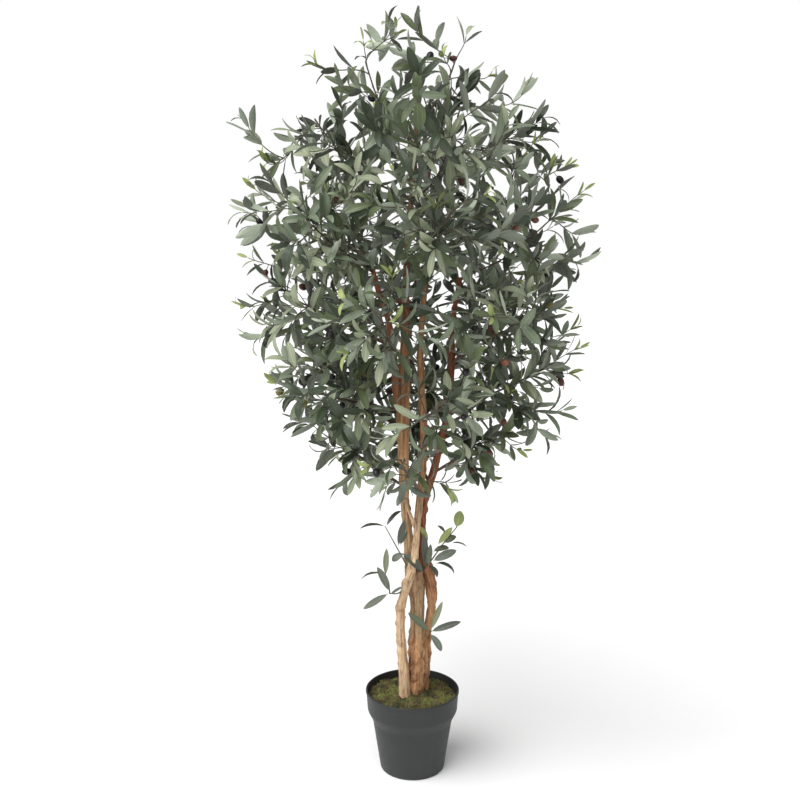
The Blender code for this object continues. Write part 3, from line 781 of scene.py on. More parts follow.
def stem_knots(node, line, rng):
    """A stem's knobbly lengths and the scars that stand out on its sides."""
    across, over = line.sides()
    knots = []
    for burl in BURLS.get(node, ()):
        for _ in range(burl.count):
            run = np.interp(rng.uniform(burl.low, burl.high), line.points[:, 2], line.run)
            size = burl.size * rng.uniform(0.6, 1.25)
            angle = rng.uniform(0, FULL_TURN)
            knots.append(Knot(run, angle, size, size * rng.uniform(0.3, 0.62), rng.choice(BURL_HOLLOWS)))
    for scar in SCARS.get(node, ()):
        run = np.interp(scar.height, line.points[:, 2], line.run)
        ring = np.searchsorted(line.run, run)
        facing = np.array((scar.to_right, scar.to_back, 0.0))
        angle = math.atan2(facing @ over[ring], facing @ across[ring]) % FULL_TURN
        knots.append(Knot(run, angle, scar.size, scar.size * SCAR_HEIGHT, SCAR_HOLLOW))
    return knots


def knobbliness(line, burls):
    """How knobbly a limb is at each ring, from none to all."""
    heights = line.points[:, 2]
    share = np.zeros(len(heights))
    for burl in burls:
        share += np.abs(heights - (burl.low + burl.high) / 2) < (burl.high - burl.low) / 2
    return smoothed(share, KNOBBLY_EASING)


def limb_relief(line, angles, relief, seed, knobbly):
    """How far a limb's surface swells at each ring and angle, and how deeply it's creased there."""
    swell = np.zeros((len(line.run), len(angles)))
    crease = np.zeros_like(swell)
    for i, run in enumerate(line.run):
        for j, angle in enumerate(angles):
            round_it = Vector((math.cos(angle), math.sin(angle), 0.0))
            ridge = noise.noise(round_it * 2.1 + Vector((seed, 0.0, run * 9.0)))
            fine = noise.noise(round_it * 5.5 + Vector((0.0, seed, run * 30.0)))
            pit = noise.noise(round_it * 7.0 + Vector((seed, seed, run * 190.0)))
            lump = noise.noise(round_it * 2.4 + Vector((seed, 2.0, run * 75.0)))
            fold = abs(noise.noise(round_it * 1.5 + Vector((seed, 9.0, run * 5.5))))
            crease[i, j] = max(1.0 - fold * 7.0, 0.0)
            smooth_parts = RIDGE_SHARE * ridge + FINE_SHARE * fine + PIT_SHARE * pit
            swell[i, j] = relief * (smooth_parts + LUMP_SHARE * knobbly[i] * lump)
    return swell - CREASE_SHARE * relief * crease, crease


def bark_mesh(name, line, sides, relief, knots, seed, burls=()):
    """A rolled-up grid round a limb, its surface moved into ridges, creases and branch scars, and marked
    with where the scar colour and painted shade go.
    """
    across, over = line.sides()
    angles = np.linspace(0.0, FULL_TURN, sides, endpoint=False)
    spokes = np.cos(angles)[None, :, None] * across[:, None] + np.sin(angles)[None, :, None] * over[:, None]
    swell, crease = limb_relief(line, angles, relief, seed, knobbliness(line, burls))
    # Painted shade: the surface is darkened where it is sunk below the limb's radius and along its creases.
    scar_and_shade = np.clip(-swell / relief * 1.2 - 0.45, 0.0, 0.45) + 0.3 * crease
    for knot in knots:
        along = line.run[:, None] - knot.run
        turned = (angles[None, :] - knot.angle + math.pi) % FULL_TURN - math.pi
        gap = np.sqrt(along**2 + (turned * line.radii[:, None]) ** 2) / knot.size
        dimple = knot.hollow * np.exp(-((gap * 2.6) ** 2))
        swell += knot.height / line.radii[:, None] * (np.exp(-(gap**2)) - dimple)
        # Each knob takes the scar's reddish brown, the more where its top is hollow.
        scar_and_shade += (0.35 + 0.5 * knot.hollow) * np.exp(-((gap * 1.7) ** 2))
        # Painted shade: a dark ring round the knob's foot.
        scar_and_shade += 0.2 * np.exp(-((gap - 1.3) ** 2) * 9.0)
    reach = line.radii[:, None] * (1.0 + swell)
    surface = line.points[:, None] + spokes * reach[:, :, None]
    rings = len(line.points)
    shape = bmesh.new()
    bmesh.ops.create_grid(shape, x_segments=sides, y_segments=rings - 1, size=1.0)
    scar_and_shade_layer = shape.verts.layers.float.new("scar_and_shade")
    for vert in shape.verts:
        column = round((vert.co.x + 1.0) / 2 * sides) % sides
        ring = round((vert.co.y + 1.0) / 2 * (rings - 1))
        vert.co = surface[ring, column]
        vert[scar_and_shade_layer] = min(scar_and_shade[ring, column], MOST_SCAR_AND_SHADE)
    bmesh.ops.remove_doubles(shape, verts=shape.verts, dist=MERGE_DISTANCE)
    bmesh.ops.holes_fill(shape, edges=[e for e in shape.edges if e.is_boundary], sides=sides)
    bmesh.ops.recalc_face_normals(shape, faces=shape.faces)
    return to_mesh(name, shape)


def make_stems(settings):
    """The bare twisted stems and their forks, each a mesh with the relief of peeled wood."""
    woods = (settings.pale_colour, settings.brown_colour, settings.orange_colour, settings.red_colour)
    for k, (node, stops) in enumerate(WOOD_STOPS.items()):
        rng = random.Random(settings.seed + k)
        line = limb_line(node)
        heights = line.points[:, 2]
        girths = interpolate(GIRTHS.get(node, ((0.0, 1.0),)), heights)
        shifts = interpolate(SHIFTS.get(node, ((0.0, 0.0),)), heights)
        line = Line(line.points + np.outer(shifts, (1.0, 0.0, 0.0)), line.radii * girths, STEM_STEP)
        knots = limb_knots(line.length, rng, settings.knot_spacing, STEM_KNOT)
        knots += stem_knots(node, line, rng)
        burls = BURLS.get(node, ())
        mesh = bark_mesh(f"bark_{node}", line, STEM_SIDES, settings.relief, knots, 3.7 * k + 1.0, burls)
        colours = [(height, scaled(woods[wood], share)) for height, share, wood in stops]
        add_piece(f"bark_{node}", mesh, [peeled_wood(f"wood_{node}", colours)], [node])


def crown_tiers():
    """The names of the crown's tiers of masses."""
    return sorted({name.split("_")[1] for name in named("foliage_")})


@functools.cache
def bough_line(mass):
    """A mass's bough, carried on from the packed one into the middle of the mass's outer part."""
    packed = limb_line(mass.replace("foliage_", "bough_"))
    shape = merged_copy(mass)
    points = np.array([vert.co for vert in shape.verts])
    shape.free()
    middle = points.mean(0)
    outness = np.linalg.norm(points[:, :2], axis=1) + TOP_PULL * np.maximum(points[:, 2] - TOP_START, 0.0)
    far = points[np.argsort(outness)[-max(len(points) // 4, 4) :]].mean(0)
    goal = MIDDLE_SHARE * middle + FAR_SHARE * far
    end, heading = packed.points[-1], packed.tangents[-1]
    reach = np.linalg.norm(goal - end)
    first = end + heading * reach * BOUGH_HANDLE
    second = goal - unit(far - end + 0.4 * reach * UP) * reach * BOUGH_HANDLE
    onward = bezier(end, first, second, goal, BOUGH_POINTS)[1:]
    radii = np.linspace(packed.radii[-1], BOUGH_TIP, len(onward) + 1)[1:]
    points = smoothed([*packed.points, *onward], 3)
    return Line(points, [*packed.radii, *radii], BOUGH_STEP)


def make_boughs(settings):
    """The thin boughs that carry the sprays, joined tier by tier."""
    finish = wrapped_twig("bough_bark", tuple(settings.bough_colour))
    for tier in crown_tiers():
        shape = bmesh.new()
        for k, mass in enumerate(named(f"foliage_{tier}_")):
            line = bough_line(mass)
            rng = random.Random(f"{settings.seed} {mass}")
            knots = limb_knots(line.length, rng, BOUGH_KNOT_SPACING, BOUGH_KNOT)
            shape.from_mesh(bark_mesh("bough", line, BOUGH_SIDES, BOUGH_RELIEF, knots, 5.3 * k + 2.0))
        nodes = named(f"bough_{tier}_")
        add_piece(f"boughs_{tier}", to_mesh(f"boughs_{tier}", shape), [finish], nodes)


# ---------------------------------------------------------------- crown

# A leaf's rows, from stalk to tip: (place along it, share of its greatest width).
LEAF_ROWS = (
    (0.0, 0.07), (0.06, 0.09), (0.17, 0.52), (0.33, 0.86), (0.53, 1.0), (0.71, 0.91), (0.86, 0.62),
    (0.95, 0.32), (1.0, 0.04),
)
LEAF_HALF_WIDTH = 0.137
RIB_SHARE = 0.075
RIB_DEPTH = 0.012
LEAF_BENDS = (0.15, 0.5, 0.9, 1.35, -0.3, 0.3, 0.7, 1.8)
LEAF_FOLDS = (0.30, 0.22, 0.35, 0.18, 0.40, 0.12, 0.28, 0.2)
LEAF_SWEEPS = (0.02, -0.03, 0.04, -0.02, 0.03, -0.05, 0.05, 0.0)
# Each tone's name, its share of the leaf colour, its hue, and how light its silvery back is.
LEAF_TONES = (
    ("slate", 0.38, (0.94, 1.0, 0.92), 0.12),
    ("green", 0.92, (1.06, 1.0, 0.82), 0.20),
    ("grey", 1.50, (1.12, 1.0, 1.20), 0.34),
    ("sage", 2.45, (1.22, 1.0, 1.22), 0.47),
    ("young", 1.0, (1.0, 1.0, 1.0), 0.0),
)
# The same for the leaves of the shoots on the bare stems.
SHOOT_TONES = (
    ("slate", 0.60, (1.20, 1.0, 1.38), 0.16),
    ("green", 0.92, (1.14, 1.0, 1.15), 0.20),
    ("grey", 1.12, (1.20, 1.0, 1.42), 0.28),
    ("sage", 1.70, (1.26, 1.0, 1.15), 0.38),
    ("young", 0.85, (1.02, 1.0, 1.05), 0.0),
)
# The parts of a leaf, the tones in their order, and the ranks of sprays.
TOP, RIB, BACK = range(3)
SLATE, GREEN, GREY, SAGE, YOUNG = range(5)
INNER, OUTER, LEADING = range(3)
TONE_WEIGHTS = (27, 30, 26, 17)
# By height: how far sprays turn up, how deep the outer ones end, and how far apart they are.
CLIMBS = ((0.58, -0.45), (0.70, 0.0), (0.90, 0.4), (1.15, 0.65), (1.35, 1.1), (1.48, 2.2))
INSETS = ((0.58, 0.5), (1.05, 0.5), (1.25, 1.1), (1.4, 1.9))
SPACINGS = ((0.58, 0.75), (0.75, 0.95), (1.0, 1.0), (1.15, 1.05), (1.28, 1.3), (1.4, 1.55), (1.5, 1.6))
# Where the crown shows sky, by side and height: how far round, and the share of sprays left out.
THIN_PLACES = (
    (-0.240, 1.28, 0.092, 0.90),
    (-0.165, 1.35, 0.060, 0.80),
    (-0.085, 1.40, 0.070, 0.85),
    (0.130, 1.35, 0.070, 0.75),
    (0.262, 1.13, 0.045, 0.75),
    (0.325, 1.09, 0.045, 0.50),
    (-0.310, 1.04, 0.055, 0.85),
    (-0.300, 1.14, 0.050, 0.70),
    (-0.255, 0.71, 0.100, 0.75),
    (-0.185, 0.635, 0.060, 0.90),
)
# How far outer sprays are sunk and spread sideways, by height.
SINKINGS = ((0.58, 0.032), (0.68, 0.022), (0.80, 0.0))
WIDENINGS = ((0.60, 1.0), (0.78, 1.03), (0.88, 1.07), (0.98, 1.03), (1.1, 1.0))
# The tips that stand out from the crown.
LEADERS = (
    (0.005, 0.0, 1.485), (-0.035, 0.03, 1.485), (-0.095, -0.03, 1.455), (-0.19, 0.0, 1.425),
    (0.05, -0.04, 1.435), (0.1, 0.02, 1.47), (0.15, 0.0, 1.405), (0.21, -0.03, 1.365),
    (0.255, 0.03, 1.29), (-0.135, -0.05, 1.38), (-0.32, 0.0, 1.31), (-0.28, -0.05, 1.245),
    (0.31, 0.03, 1.23), (0.33, -0.03, 1.18), (0.35, 0.0, 1.045), (0.345, 0.06, 1.095),
    (-0.34, 0.0, 1.13), (-0.325, 0.05, 1.195), (-0.325, -0.04, 1.055), (-0.35, 0.0, 0.965),
    (-0.33, 0.05, 0.9), (-0.29, -0.02, 0.82), (-0.28, 0.05, 0.77), (-0.235, -0.03, 0.725),
    (-0.155, 0.0, 0.59), (0.335, 0.03, 0.92), (0.33, -0.04, 0.885), (0.335, 0.02, 0.825),
    (0.305, -0.02, 0.76), (0.285, 0.04, 0.695), (0.175, 0.02, 0.595), (0.075, -0.06, 0.595),
    (-0.055, -0.05, 0.58), (0.005, -0.03, 1.43), (0.19, -0.06, 0.7), (0.215, 0.05, 0.715),
    (0.21, -0.06, 1.235), (0.235, -0.05, 1.275), (0.275, -0.02, 1.235),
)
# Random points tried for each place that a spray may take, on a mass's surface and inside it.
SURFACE_TRIES = 9
VOLUME_TRIES = 14
RAY_CLEARANCE = 0.01
OPEN_REACH = 0.6
NORMAL_PULL = 0.6
CORE_FOOT, CORE_TOP = 0.80, 1.15
# The parts of the crown that hide the upper stems and the sky between stems, as ranges of x, y and z.
BEFORE_STEMS = ((-0.07, 0.11), (-0.26, -0.02), (1.02, 1.36))
BEHIND_STEMS = ((-0.05, 0.13), (0.03, 0.26), (0.80, 1.06))
# The leaning gap through which the stems show: its lean, its sides at a height, and its heights.
GAP_LEAN = 0.07
GAP_MIDDLE = 0.55
GAP_SIDES = (-0.05, 0.055)
GAP_HEIGHTS = (0.56, 0.99)
# How far inner sprays keep from outer ones, and from each other where they hide gaps.
SURFACE_ROOM = 0.85
CLOSE_SPACING = 0.66
HEADING_WANDER = 0.24
# How far back from its place a spray's twig ends, in leaf lengths.
LEADING_BACK = 0.3
OUTER_BACK = (0.4, 0.6)
# The share of a bough, from its foot, that bears no sprays.
BOUGH_BARE = 0.4
# What a spray's place costs: its length, less where it needn't bend, and more where it's crowded.
LENGTH_COST = 1.7
AHEAD_SAVING = 0.55
ALONG_SAVING = 0.35
SHORTEST_SPRAY = 0.05
SHORT_COST = 0.3
SIDE_SPRAY_COST = 0.02
# The part of a spray that later ones can grow from, and the length of its foot without leaves.
SIDE_SPRAYS = (0.2, 0.6)
BARE_FOOT = 0.02
FOOT_HANDLE = 0.35
TIP_HANDLE = 0.38
SPRAY_POINTS = 14
SPRAY_STEP = 0.009
SPRAY_FOOT_RADIUS = 0.0009
SPRAY_THICKENING = 0.0045
SPRAY_TIP_RADIUS = 0.0007
# How much likelier inner, outer and leading sprays are to end in young leaves.
YOUNG_BY_RANK = (0.0, 1.2, 8.0)
# The size of a spray's tip leaf, and what each pair back from it adds.
GROWN_SIZES = (0.66, 0.20)
YOUNG_SIZES = (0.38, 0.17)
# How wide pairs open, in degrees: at the tip, what each pair back adds, and the most.
TIP_OPENING = 22
OPENING_STEP = 8
MOST_OPENING = 52
LEADING_CLOSURE = 0.78
OUTWARD_TURN = 0.25
LEAST_LEAF, LARGEST_LEAF = 0.78, 1.2
MISSING_SHARE = 0.05
OWN_TONE_WEIGHTS = (5, 1)
# How far leaves keep from the stems, and how far they may pass the packed box.
STEM_CLEARANCE = 0.014
EDGE_ROOM = 0.014


class Spray(NamedTuple):
    """A leafy twig: the mass it belongs to, its line, its leafy length, its tone and its rank."""

    mass: str
    line: Line
    leafy: float
    tone: int
    rank: int


class Leaf(NamedTuple):
    """A leaf's foot, its turn as three columns, its shape and its tone."""

    foot: np.ndarray
    turn: np.ndarray
    shape: int
    tone: int


def joined_copies(name, templates, turns, places, shapes, tones):
    """One mesh of many copies of like templates, each turned, placed and given its tone's material.

    A template's face materials are roles, and a tone's materials follow one another by role.
    """
    count = len(templates[0].vertices)
    forms = np.empty((len(templates), count, 3))
    for form, template in zip(forms, templates):
        flat = np.empty(count * 3, np.float32)
        template.vertices.foreach_get("co", flat)
        form[:] = flat.reshape(-1, 3)
    faces = np.array([list(face.vertices) for face in templates[0].polygons])
    roles = np.array([face.material_index for face in templates[0].polygons])
    points = np.einsum("nij,nvj->nvi", np.array(turns), forms[np.array(shapes)])
    points += np.array(places)[:, None]
    indices = faces[None] + (np.arange(len(places)) * count)[:, None, None]
    mesh = bpy.data.meshes.new(name)
    mesh.from_pydata(points.reshape(-1, 3), [], indices.reshape(-1, faces.shape[1]))
    width = roles.max() + 1
    materials = (np.array(tones)[:, None] * width + roles[None]).ravel()
    mesh.polygons.foreach_set("material_index", materials.astype(np.int32))
    mesh.shade_smooth()
    mesh.set_sharp_from_angle(angle=math.radians(65))
    return mesh


def flat_leaf():
    """Two flat sheets joined at their edges, the back one's midrib lowered, as a grid of leaf rows."""
    shape = bmesh.new()
    bmesh.ops.create_grid(shape, x_segments=3, y_segments=len(LEAF_ROWS) - 1, size=1.0)
    for face in shape.faces:
        face.material_index = RIB if abs(face.calc_center_median().x) < 0.1 else TOP
    doubled = bmesh.ops.duplicate(shape, geom=[*shape.verts, *shape.edges, *shape.faces])["geom"]
    back_faces = [g for g in doubled if isinstance(g, bmesh.types.BMFace)]
    bmesh.ops.reverse_faces(shape, faces=back_faces)
    for face in back_faces:
        face.material_index = BACK
    for vert in (g for g in doubled if isinstance(g, bmesh.types.BMVert)):
        if abs(vert.co.x) < 0.5 and abs(vert.co.y) < 0.99:
            vert.co.z = -1.0
    bmesh.ops.remove_doubles(shape, verts=shape.verts, dist=MERGE_DISTANCE)
    return shape


def leaf_template(bend, fold, sweep):
    """A leaf one unit long, folded along its midrib, bent back along its length and swept aside."""
    shape = flat_leaf()
    for vert in shape.verts:
        along, share = LEAF_ROWS[round((vert.co.y + 1.0) / 2 * (len(LEAF_ROWS) - 1))]
        at_rib = abs(vert.co.x) < 0.5
        half = LEAF_HALF_WIDTH * share * (RIB_SHARE / max(share, 0.3) if at_rib else 1.0)
        across = math.copysign(half, vert.co.x)
        ripple = 0.0 if at_rib else 0.008 * share * math.sin(9.0 * along + (2.0 if across > 0 else 0.0))
        lift = half * math.tan(fold) + ripple + RIB_DEPTH * vert.co.z
        angle = bend * along
        vert.co.x = across + sweep * along**2
        vert.co.y = math.sin(angle) / bend + lift * math.sin(angle)
        vert.co.z = (math.cos(angle) - 1.0) / bend + lift * math.cos(angle)
    return to_mesh("leaf", shape)


def leaf_templates():
    """One leaf for each bend, fold and sweep."""
    return [leaf_template(*values) for values in zip(LEAF_BENDS, LEAF_FOLDS, LEAF_SWEEPS)]


def leaf_finishes(settings, kind="leaf", tones=LEAF_TONES):
    """The top, midrib and back cloth of each tone of leaf, in the order of the tones."""
    finishes = []
    for name, share, hue, back in tones:
        tint = settings.young_colour if name == "young" else settings.leaf_colour
        base = tuple(share * level * channel for level, channel in zip(hue, tint))
        silver = scaled(base, 0.9) if name == "young" else (back * 0.88, back, back * 0.77)
        finishes.append(leaf_cloth(f"{kind}_{name}_top", base, 0.42))
        finishes.append(leaf_cloth(f"{kind}_{name}_rib", scaled(base, 1.4), 0.46))
        finishes.append(leaf_cloth(f"{kind}_{name}_back", silver, 0.66))
    return finishes


def from_core(point):
    """The direction outwards from the crown's core at a point."""
    return unit(point - np.array((0.0, 0.0, min(max(point[2], CORE_FOOT), CORE_TOP))))


def mass_peaks(shape):
    """The corners of a mass that stand out further than their neighbours: (point, normal)."""
    middle = sum((vert.co for vert in shape.verts), Vector()) / len(shape.verts)
    peaks = []
    for vert in shape.verts:
        reach = (vert.co - middle).length
        if all(reach > (edge.other_vert(vert).co - middle).length for edge in vert.link_edges):
            peaks.append((np.array(vert.co), np.array(vert.normal)))
    return peaks


def scattered(shape, rng, spacing, inset):
    """Random points all over a mass, a little under its faces: (point, normal)."""
    areas = [face.calc_area() for face in shape.faces]
    spread = []
    for face in rng.choices(list(shape.faces), areas, k=int(sum(areas) / spacing**2 * SURFACE_TRIES)):
        a, b = sorted((rng.random(), rng.random()))
        corners = [np.array(vert.co) for vert in face.verts]
        point = corners[0] * a + corners[1] * (b - a) + corners[2] * (1 - b)
        normal = np.array(face.normal)
        spread.append((point - inset * interpolate(INSETS, point[2]) * normal, normal))
    return spread


def whole_crown():
    """All the masses as one tree of faces, for casting rays at."""
    whole = bmesh.new()
    for mass in named("foliage_"):
        whole.from_mesh(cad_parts[mass].data)
    crown = BVHTree.FromBMesh(whole)
    whole.free()
    return crown


def has_room(point, spots, room):
    """True if a point keeps its distance from the spots already taken."""
    return not len(spots) or np.linalg.norm(spots - point, axis=1).min() >= room


def open_surface(rng, spacing, settings):
    """Points on the crown's open outside, spread evenly: (mass, point, outward direction, leading)."""
    crown = whole_crown()
    bodies, peaks, others = {}, [], []
    for mass in named("foliage_"):
        shape = merged_copy(mass)
        bodies[mass] = BVHTree.FromBMesh(shape)
        spread = scattered(shape, rng, spacing, settings.inset)
        for group, points in ((peaks, mass_peaks(shape)), (others, spread)):
            for point, normal in points:
                outward = unit(from_core(point) + NORMAL_PULL * normal)
                start = point + outward * (settings.inset * 2 + RAY_CLEARANCE)
                if crown.ray_cast(Vector(start), Vector(outward), OPEN_REACH)[0] is None:
                    wide = interpolate(WIDENINGS, point[2])
                    sunk = interpolate(SINKINGS, point[2])
                    group.append((mass, point * (wide, 1.0, 1.0) - sunk * UP, outward, group is peaks))
        shape.free()
    kept = []
    for tip in LEADERS:
        nearest = min(bodies, key=lambda mass: bodies[mass].find_nearest(tip)[3])
        kept.append((nearest, np.array(tip), from_core(np.array(tip)), True))
    spots = np.array(LEADERS)
    for mass, point, outward, lead in [*peaks, *others]:
        if thinned(point, rng) or not has_room(point, spots, spacing * interpolate(SPACINGS, point[2])):
            continue
        kept.append((mass, point, outward, lead))
        spots = np.vstack((spots, point))
    return kept


def inner_points(rng, outside, spacing):
    """Points inside the masses, well in from the outside, spread evenly: (mass, point, direction)."""
    surface = np.array([point for _, point, _, _ in outside])
    kept = []
    spots = np.empty((0, 3))
    for mass in named("foliage_"):
        shape = merged_copy(mass)
        body = BVHTree.FromBMesh(shape)
        low = np.min([vert.co for vert in shape.verts], axis=0)
        high = np.max([vert.co for vert in shape.verts], axis=0)
        shape.free()
        for _ in range(int(np.prod(high - low) / spacing**3 * VOLUME_TRIES)):
            point = np.array([rng.uniform(a, b) for a, b in zip(low, high)])
            near, normal, _, _ = body.find_nearest(Vector(point))
            inside = (Vector(point) - near).dot(normal) < 0
            if not inside or not has_room(point, surface, spacing * SURFACE_ROOM) or thinned(point, rng):
                continue
            closeness = CLOSE_SPACING if hides_gaps(point) else 1.0
            room = spacing * interpolate(SPACINGS, point[2]) * closeness
            if has_room(point, spots, room):
                outward = unit(np.array((point[0], point[1], 0.0)) + 1e-6)
                kept.append((mass, point, outward))
                spots = np.vstack((spots, point))
    return kept


def heading_of(point, outward, rng):
    """The way a spray points: outwards, and up more the higher it is."""
    climb = interpolate(CLIMBS, point[2])
    wander = np.array([rng.gauss(0.0, HEADING_WANDER) for _ in range(3)])
    level = outward * np.array((1.0, 1.0, 0.6))
    return unit(level + climb * UP + wander)


def thinned(point, rng):
    """True for the share of sprays left out where the crown is thin."""
    for side, height, reach, share in THIN_PLACES:
        if math.hypot(point[0] - side, point[2] - height) < reach and rng.random() < share:
            return True
    return False


def between(value, limits):
    """True if a value is inside its limits."""
    return limits[0] < value < limits[1]


def hides_gaps(point):
    """True where the crown is close enough to hide the upper stems, or the sky behind the stems."""
    return any(all(map(between, point, box)) for box in (BEFORE_STEMS, BEHIND_STEMS))


def in_front_of_stems(point):
    """True in the gap through which the stems show from the front."""
    across = point[0] - GAP_LEAN * (point[2] - GAP_MIDDLE)
    return point[1] < 0.0 and between(across, GAP_SIDES) and between(point[2], GAP_HEIGHTS)


def spray_tone(rng):
    """A tone dealt out to a spray, or to a leaf that differs from its spray."""
    return rng.choices((SLATE, GREEN, GREY, SAGE), TONE_WEIGHTS)[0]


def spray_goals(settings, rng):
    """Where the sprays end, and the way they point there: (tip, heading, rank) by mass."""
    outside = open_surface(rng, settings.outer_spacing, settings)
    inside = inner_points(rng, outside, settings.inner_spacing)
    goals = {mass: [] for mass in named("foliage_")}
    for mass, point, outward, lead in outside:
        heading = heading_of(point, outward, rng)
        back = settings.leaf_length * (LEADING_BACK if lead else rng.uniform(*OUTER_BACK))
        goals[mass].append((point - heading * back, heading, LEADING if lead else OUTER))
    for mass, point, outward in inside:
        goals[mass].append((point, heading_of(point, outward, rng), INNER))
    return goals


def grown_sprays(mass, goals, settings, rng):
    """A mass's sprays, nearest first, each grown from the best place on its bough or an earlier one."""
    bough = bough_line(mass)
    late = bough.run > bough.length * BOUGH_BARE
    feet, ways = bough.points[late], bough.tangents[late]
    costs = np.zeros(len(feet))
    sprays = []
    for tip, heading, rank in sorted(goals, key=lambda goal: np.linalg.norm(goal[0] - bough.points[-1])):
        if in_front_of_stems(tip) and rng.random() < settings.front_gap:
            continue
        reach = tip - feet
        gap = np.linalg.norm(reach, axis=1)
        ahead = units(reach)
        saved_ahead = AHEAD_SAVING * ahead @ heading
        saved_along = ALONG_SAVING * (ahead * ways).sum(1)
        cost = gap * (LENGTH_COST - saved_ahead - saved_along) + costs
        cost[gap < SHORTEST_SPRAY] += SHORT_COST
        best = int(np.argmin(cost))
        foot, length = feet[best], gap[best]
        first = foot + unit(0.5 * ways[best] + 0.7 * ahead[best]) * length * FOOT_HANDLE
        second = tip - heading * length * TIP_HANDLE
        points = bezier(foot, first, second, tip, SPRAY_POINTS)
        base = SPRAY_FOOT_RADIUS + SPRAY_THICKENING * min(length, 0.2)
        line = Line(points, np.linspace(base, SPRAY_TIP_RADIUS, SPRAY_POINTS), SPRAY_STEP)
        leafy = min(rng.uniform(*settings.leafy_length), line.length - BARE_FOOT)
        sprays.append(Spray(mass, line, leafy, spray_tone(rng), rank))
        low, high = (line.length * share for share in SIDE_SPRAYS)
        some = (line.run > low) & (line.run < high)
        feet = np.vstack((feet, line.points[some]))
        ways = np.vstack((ways, line.tangents[some]))
        costs = np.concatenate((costs, np.full(some.sum(), SIDE_SPRAY_COST)))
    return sprays


@functools.cache
def crown_sprays():
    """Every spray of the crown, grown mass by mass."""
    settings = bpy.context.scene.olive_crown
    rng = random.Random(settings.seed)
    sprays = []
    for mass, goals in spray_goals(settings, rng).items():
        sprays += grown_sprays(mass, goals, settings, rng)
    return sprays


def leaf_turn(axis, normal, length, width_share, roll):
    """The columns that turn and size a leaf along an axis, its top towards the normal."""
    normal = unit(normal - axis * axis.dot(normal))
    side = np.cross(axis, normal)
    top = normal * math.cos(roll) + side * math.sin(roll)
    across = np.cross(axis, top)
    return np.stack((across * length * width_share, axis * length, top * length), axis=1)


def fits(foot, turn, stems):
    """True if a leaf keeps clear of the stems and inside the tree's box."""
    tip = foot + turn[:, 1]
    middle = foot + turn[:, 1] * 0.55
    low, high = (np.array(corner) for corner in CAD_BOX)
    if (tip < low - EDGE_ROOM).any() or (tip > high + EDGE_ROOM).any():
        return False
    return min(np.linalg.norm(stems - spot, axis=1).min() for spot in (middle, tip)) > STEM_CLEARANCE


@functools.cache
def stem_points():
    """Points along the stems, which leaves keep clear of."""
    nodes = [*named("stem"), *named("fork")]
    return np.vstack([limb_line(node).points[::3] for node in nodes])


def spray_leaves(spray, settings, rng):
    """The leaves of a spray: one at the tip, then opposite pairs back along its leafy end."""
    leaves = []
    young = rng.random() < settings.young_share * YOUNG_BY_RANK[spray.rank]
    tip_size, size_step = YOUNG_SIZES if young else GROWN_SIZES
    closure = LEADING_CLOSURE if spray.rank == LEADING else 1.0
    turn = rng.uniform(0.0, FULL_TURN)
    back = 0.0
    pair = 0
    while back < spray.leafy:
        foot, tangent = spray.line.at(spray.line.length - back)
        radial = unit(np.cross(tangent, (math.cos(turn), math.sin(turn), 0.35)))
        size = min(tip_size + size_step * pair, 1.0)
        spread = math.radians(min(TIP_OPENING + OPENING_STEP * pair, MOST_OPENING))
        tone = YOUNG if young and pair < 2 else spray.tone
        for side in ((0,) if pair == 0 else (-1, 1)):
            if pair > 1 and rng.random() < MISSING_SHARE:
                continue
            open_by = spread * rng.uniform(0.75, 1.25) * abs(side) * closure
            out = radial if side == 0 else radial * side
            axis = unit(tangent * math.cos(open_by) + out * math.sin(open_by))
            face = tangent * math.sin(open_by) - out * math.cos(open_by)
            face = face + settings.light_seeking * UP + OUTWARD_TURN * np.array((foot[0], foot[1], 0.0))
            length = settings.leaf_length * size * min(max(rng.gauss(1.0, 0.1), LEAST_LEAF), LARGEST_LEAF)
            placed = leaf_turn(axis, face, length, rng.uniform(0.85, 1.15), rng.gauss(0.0, 0.4))
            own = tone if tone == YOUNG else rng.choices((tone, spray_tone(rng)), OWN_TONE_WEIGHTS)[0]
            leaf = Leaf(foot, placed, rng.randrange(len(LEAF_BENDS)), own)
            if fits(foot, placed, stem_points()):
                leaves.append(leaf)
        turn += math.radians(90) + rng.gauss(0.0, 0.25)
        back += settings.pair_spacing * (0.58 + 0.24 * min(pair, 2)) * rng.uniform(0.85, 1.2)
        pair += 1
    return leaves


def leaf_mesh(name, leaves, templates):
    """Leaves joined into one mesh."""
    return joined_copies(
        name,
        templates,
        [leaf.turn for leaf in leaves],
        [leaf.foot for leaf in leaves],
        [leaf.shape for leaf in leaves],
        [leaf.tone for leaf in leaves],
    )


def wire_mesh(name, lines):
    """Thin round twigs along lines, joined into one closed mesh."""
    curve = bpy.data.curves.new(name, "CURVE")
    curve.dimensions = "3D"
    curve.bevel_depth = 1.0
    curve.bevel_resolution = 1
    curve.use_fill_caps = True
    for line in lines:
        spline = curve.splines.new("POLY")
        spline.points.add(len(line.points) - 1)
        spline.points.foreach_set("co", np.hstack((line.points, np.ones((len(line.points), 1)))).ravel())
        spline.points.foreach_set("radius", line.radii)
    holder = bpy.data.objects.new(name, curve)
    bpy.context.scene.collection.objects.link(holder)
    solid = holder.evaluated_get(bpy.context.evaluated_depsgraph_get())
    tubes = bpy.data.meshes.new_from_object(solid)
    shape = bmesh.new()
    shape.from_mesh(tubes)
    bpy.data.objects.remove(holder)
    bpy.data.meshes.remove(tubes)
    bmesh.ops.remove_doubles(shape, verts=shape.verts, dist=MERGE_DISTANCE)
    return to_mesh(name, shape)


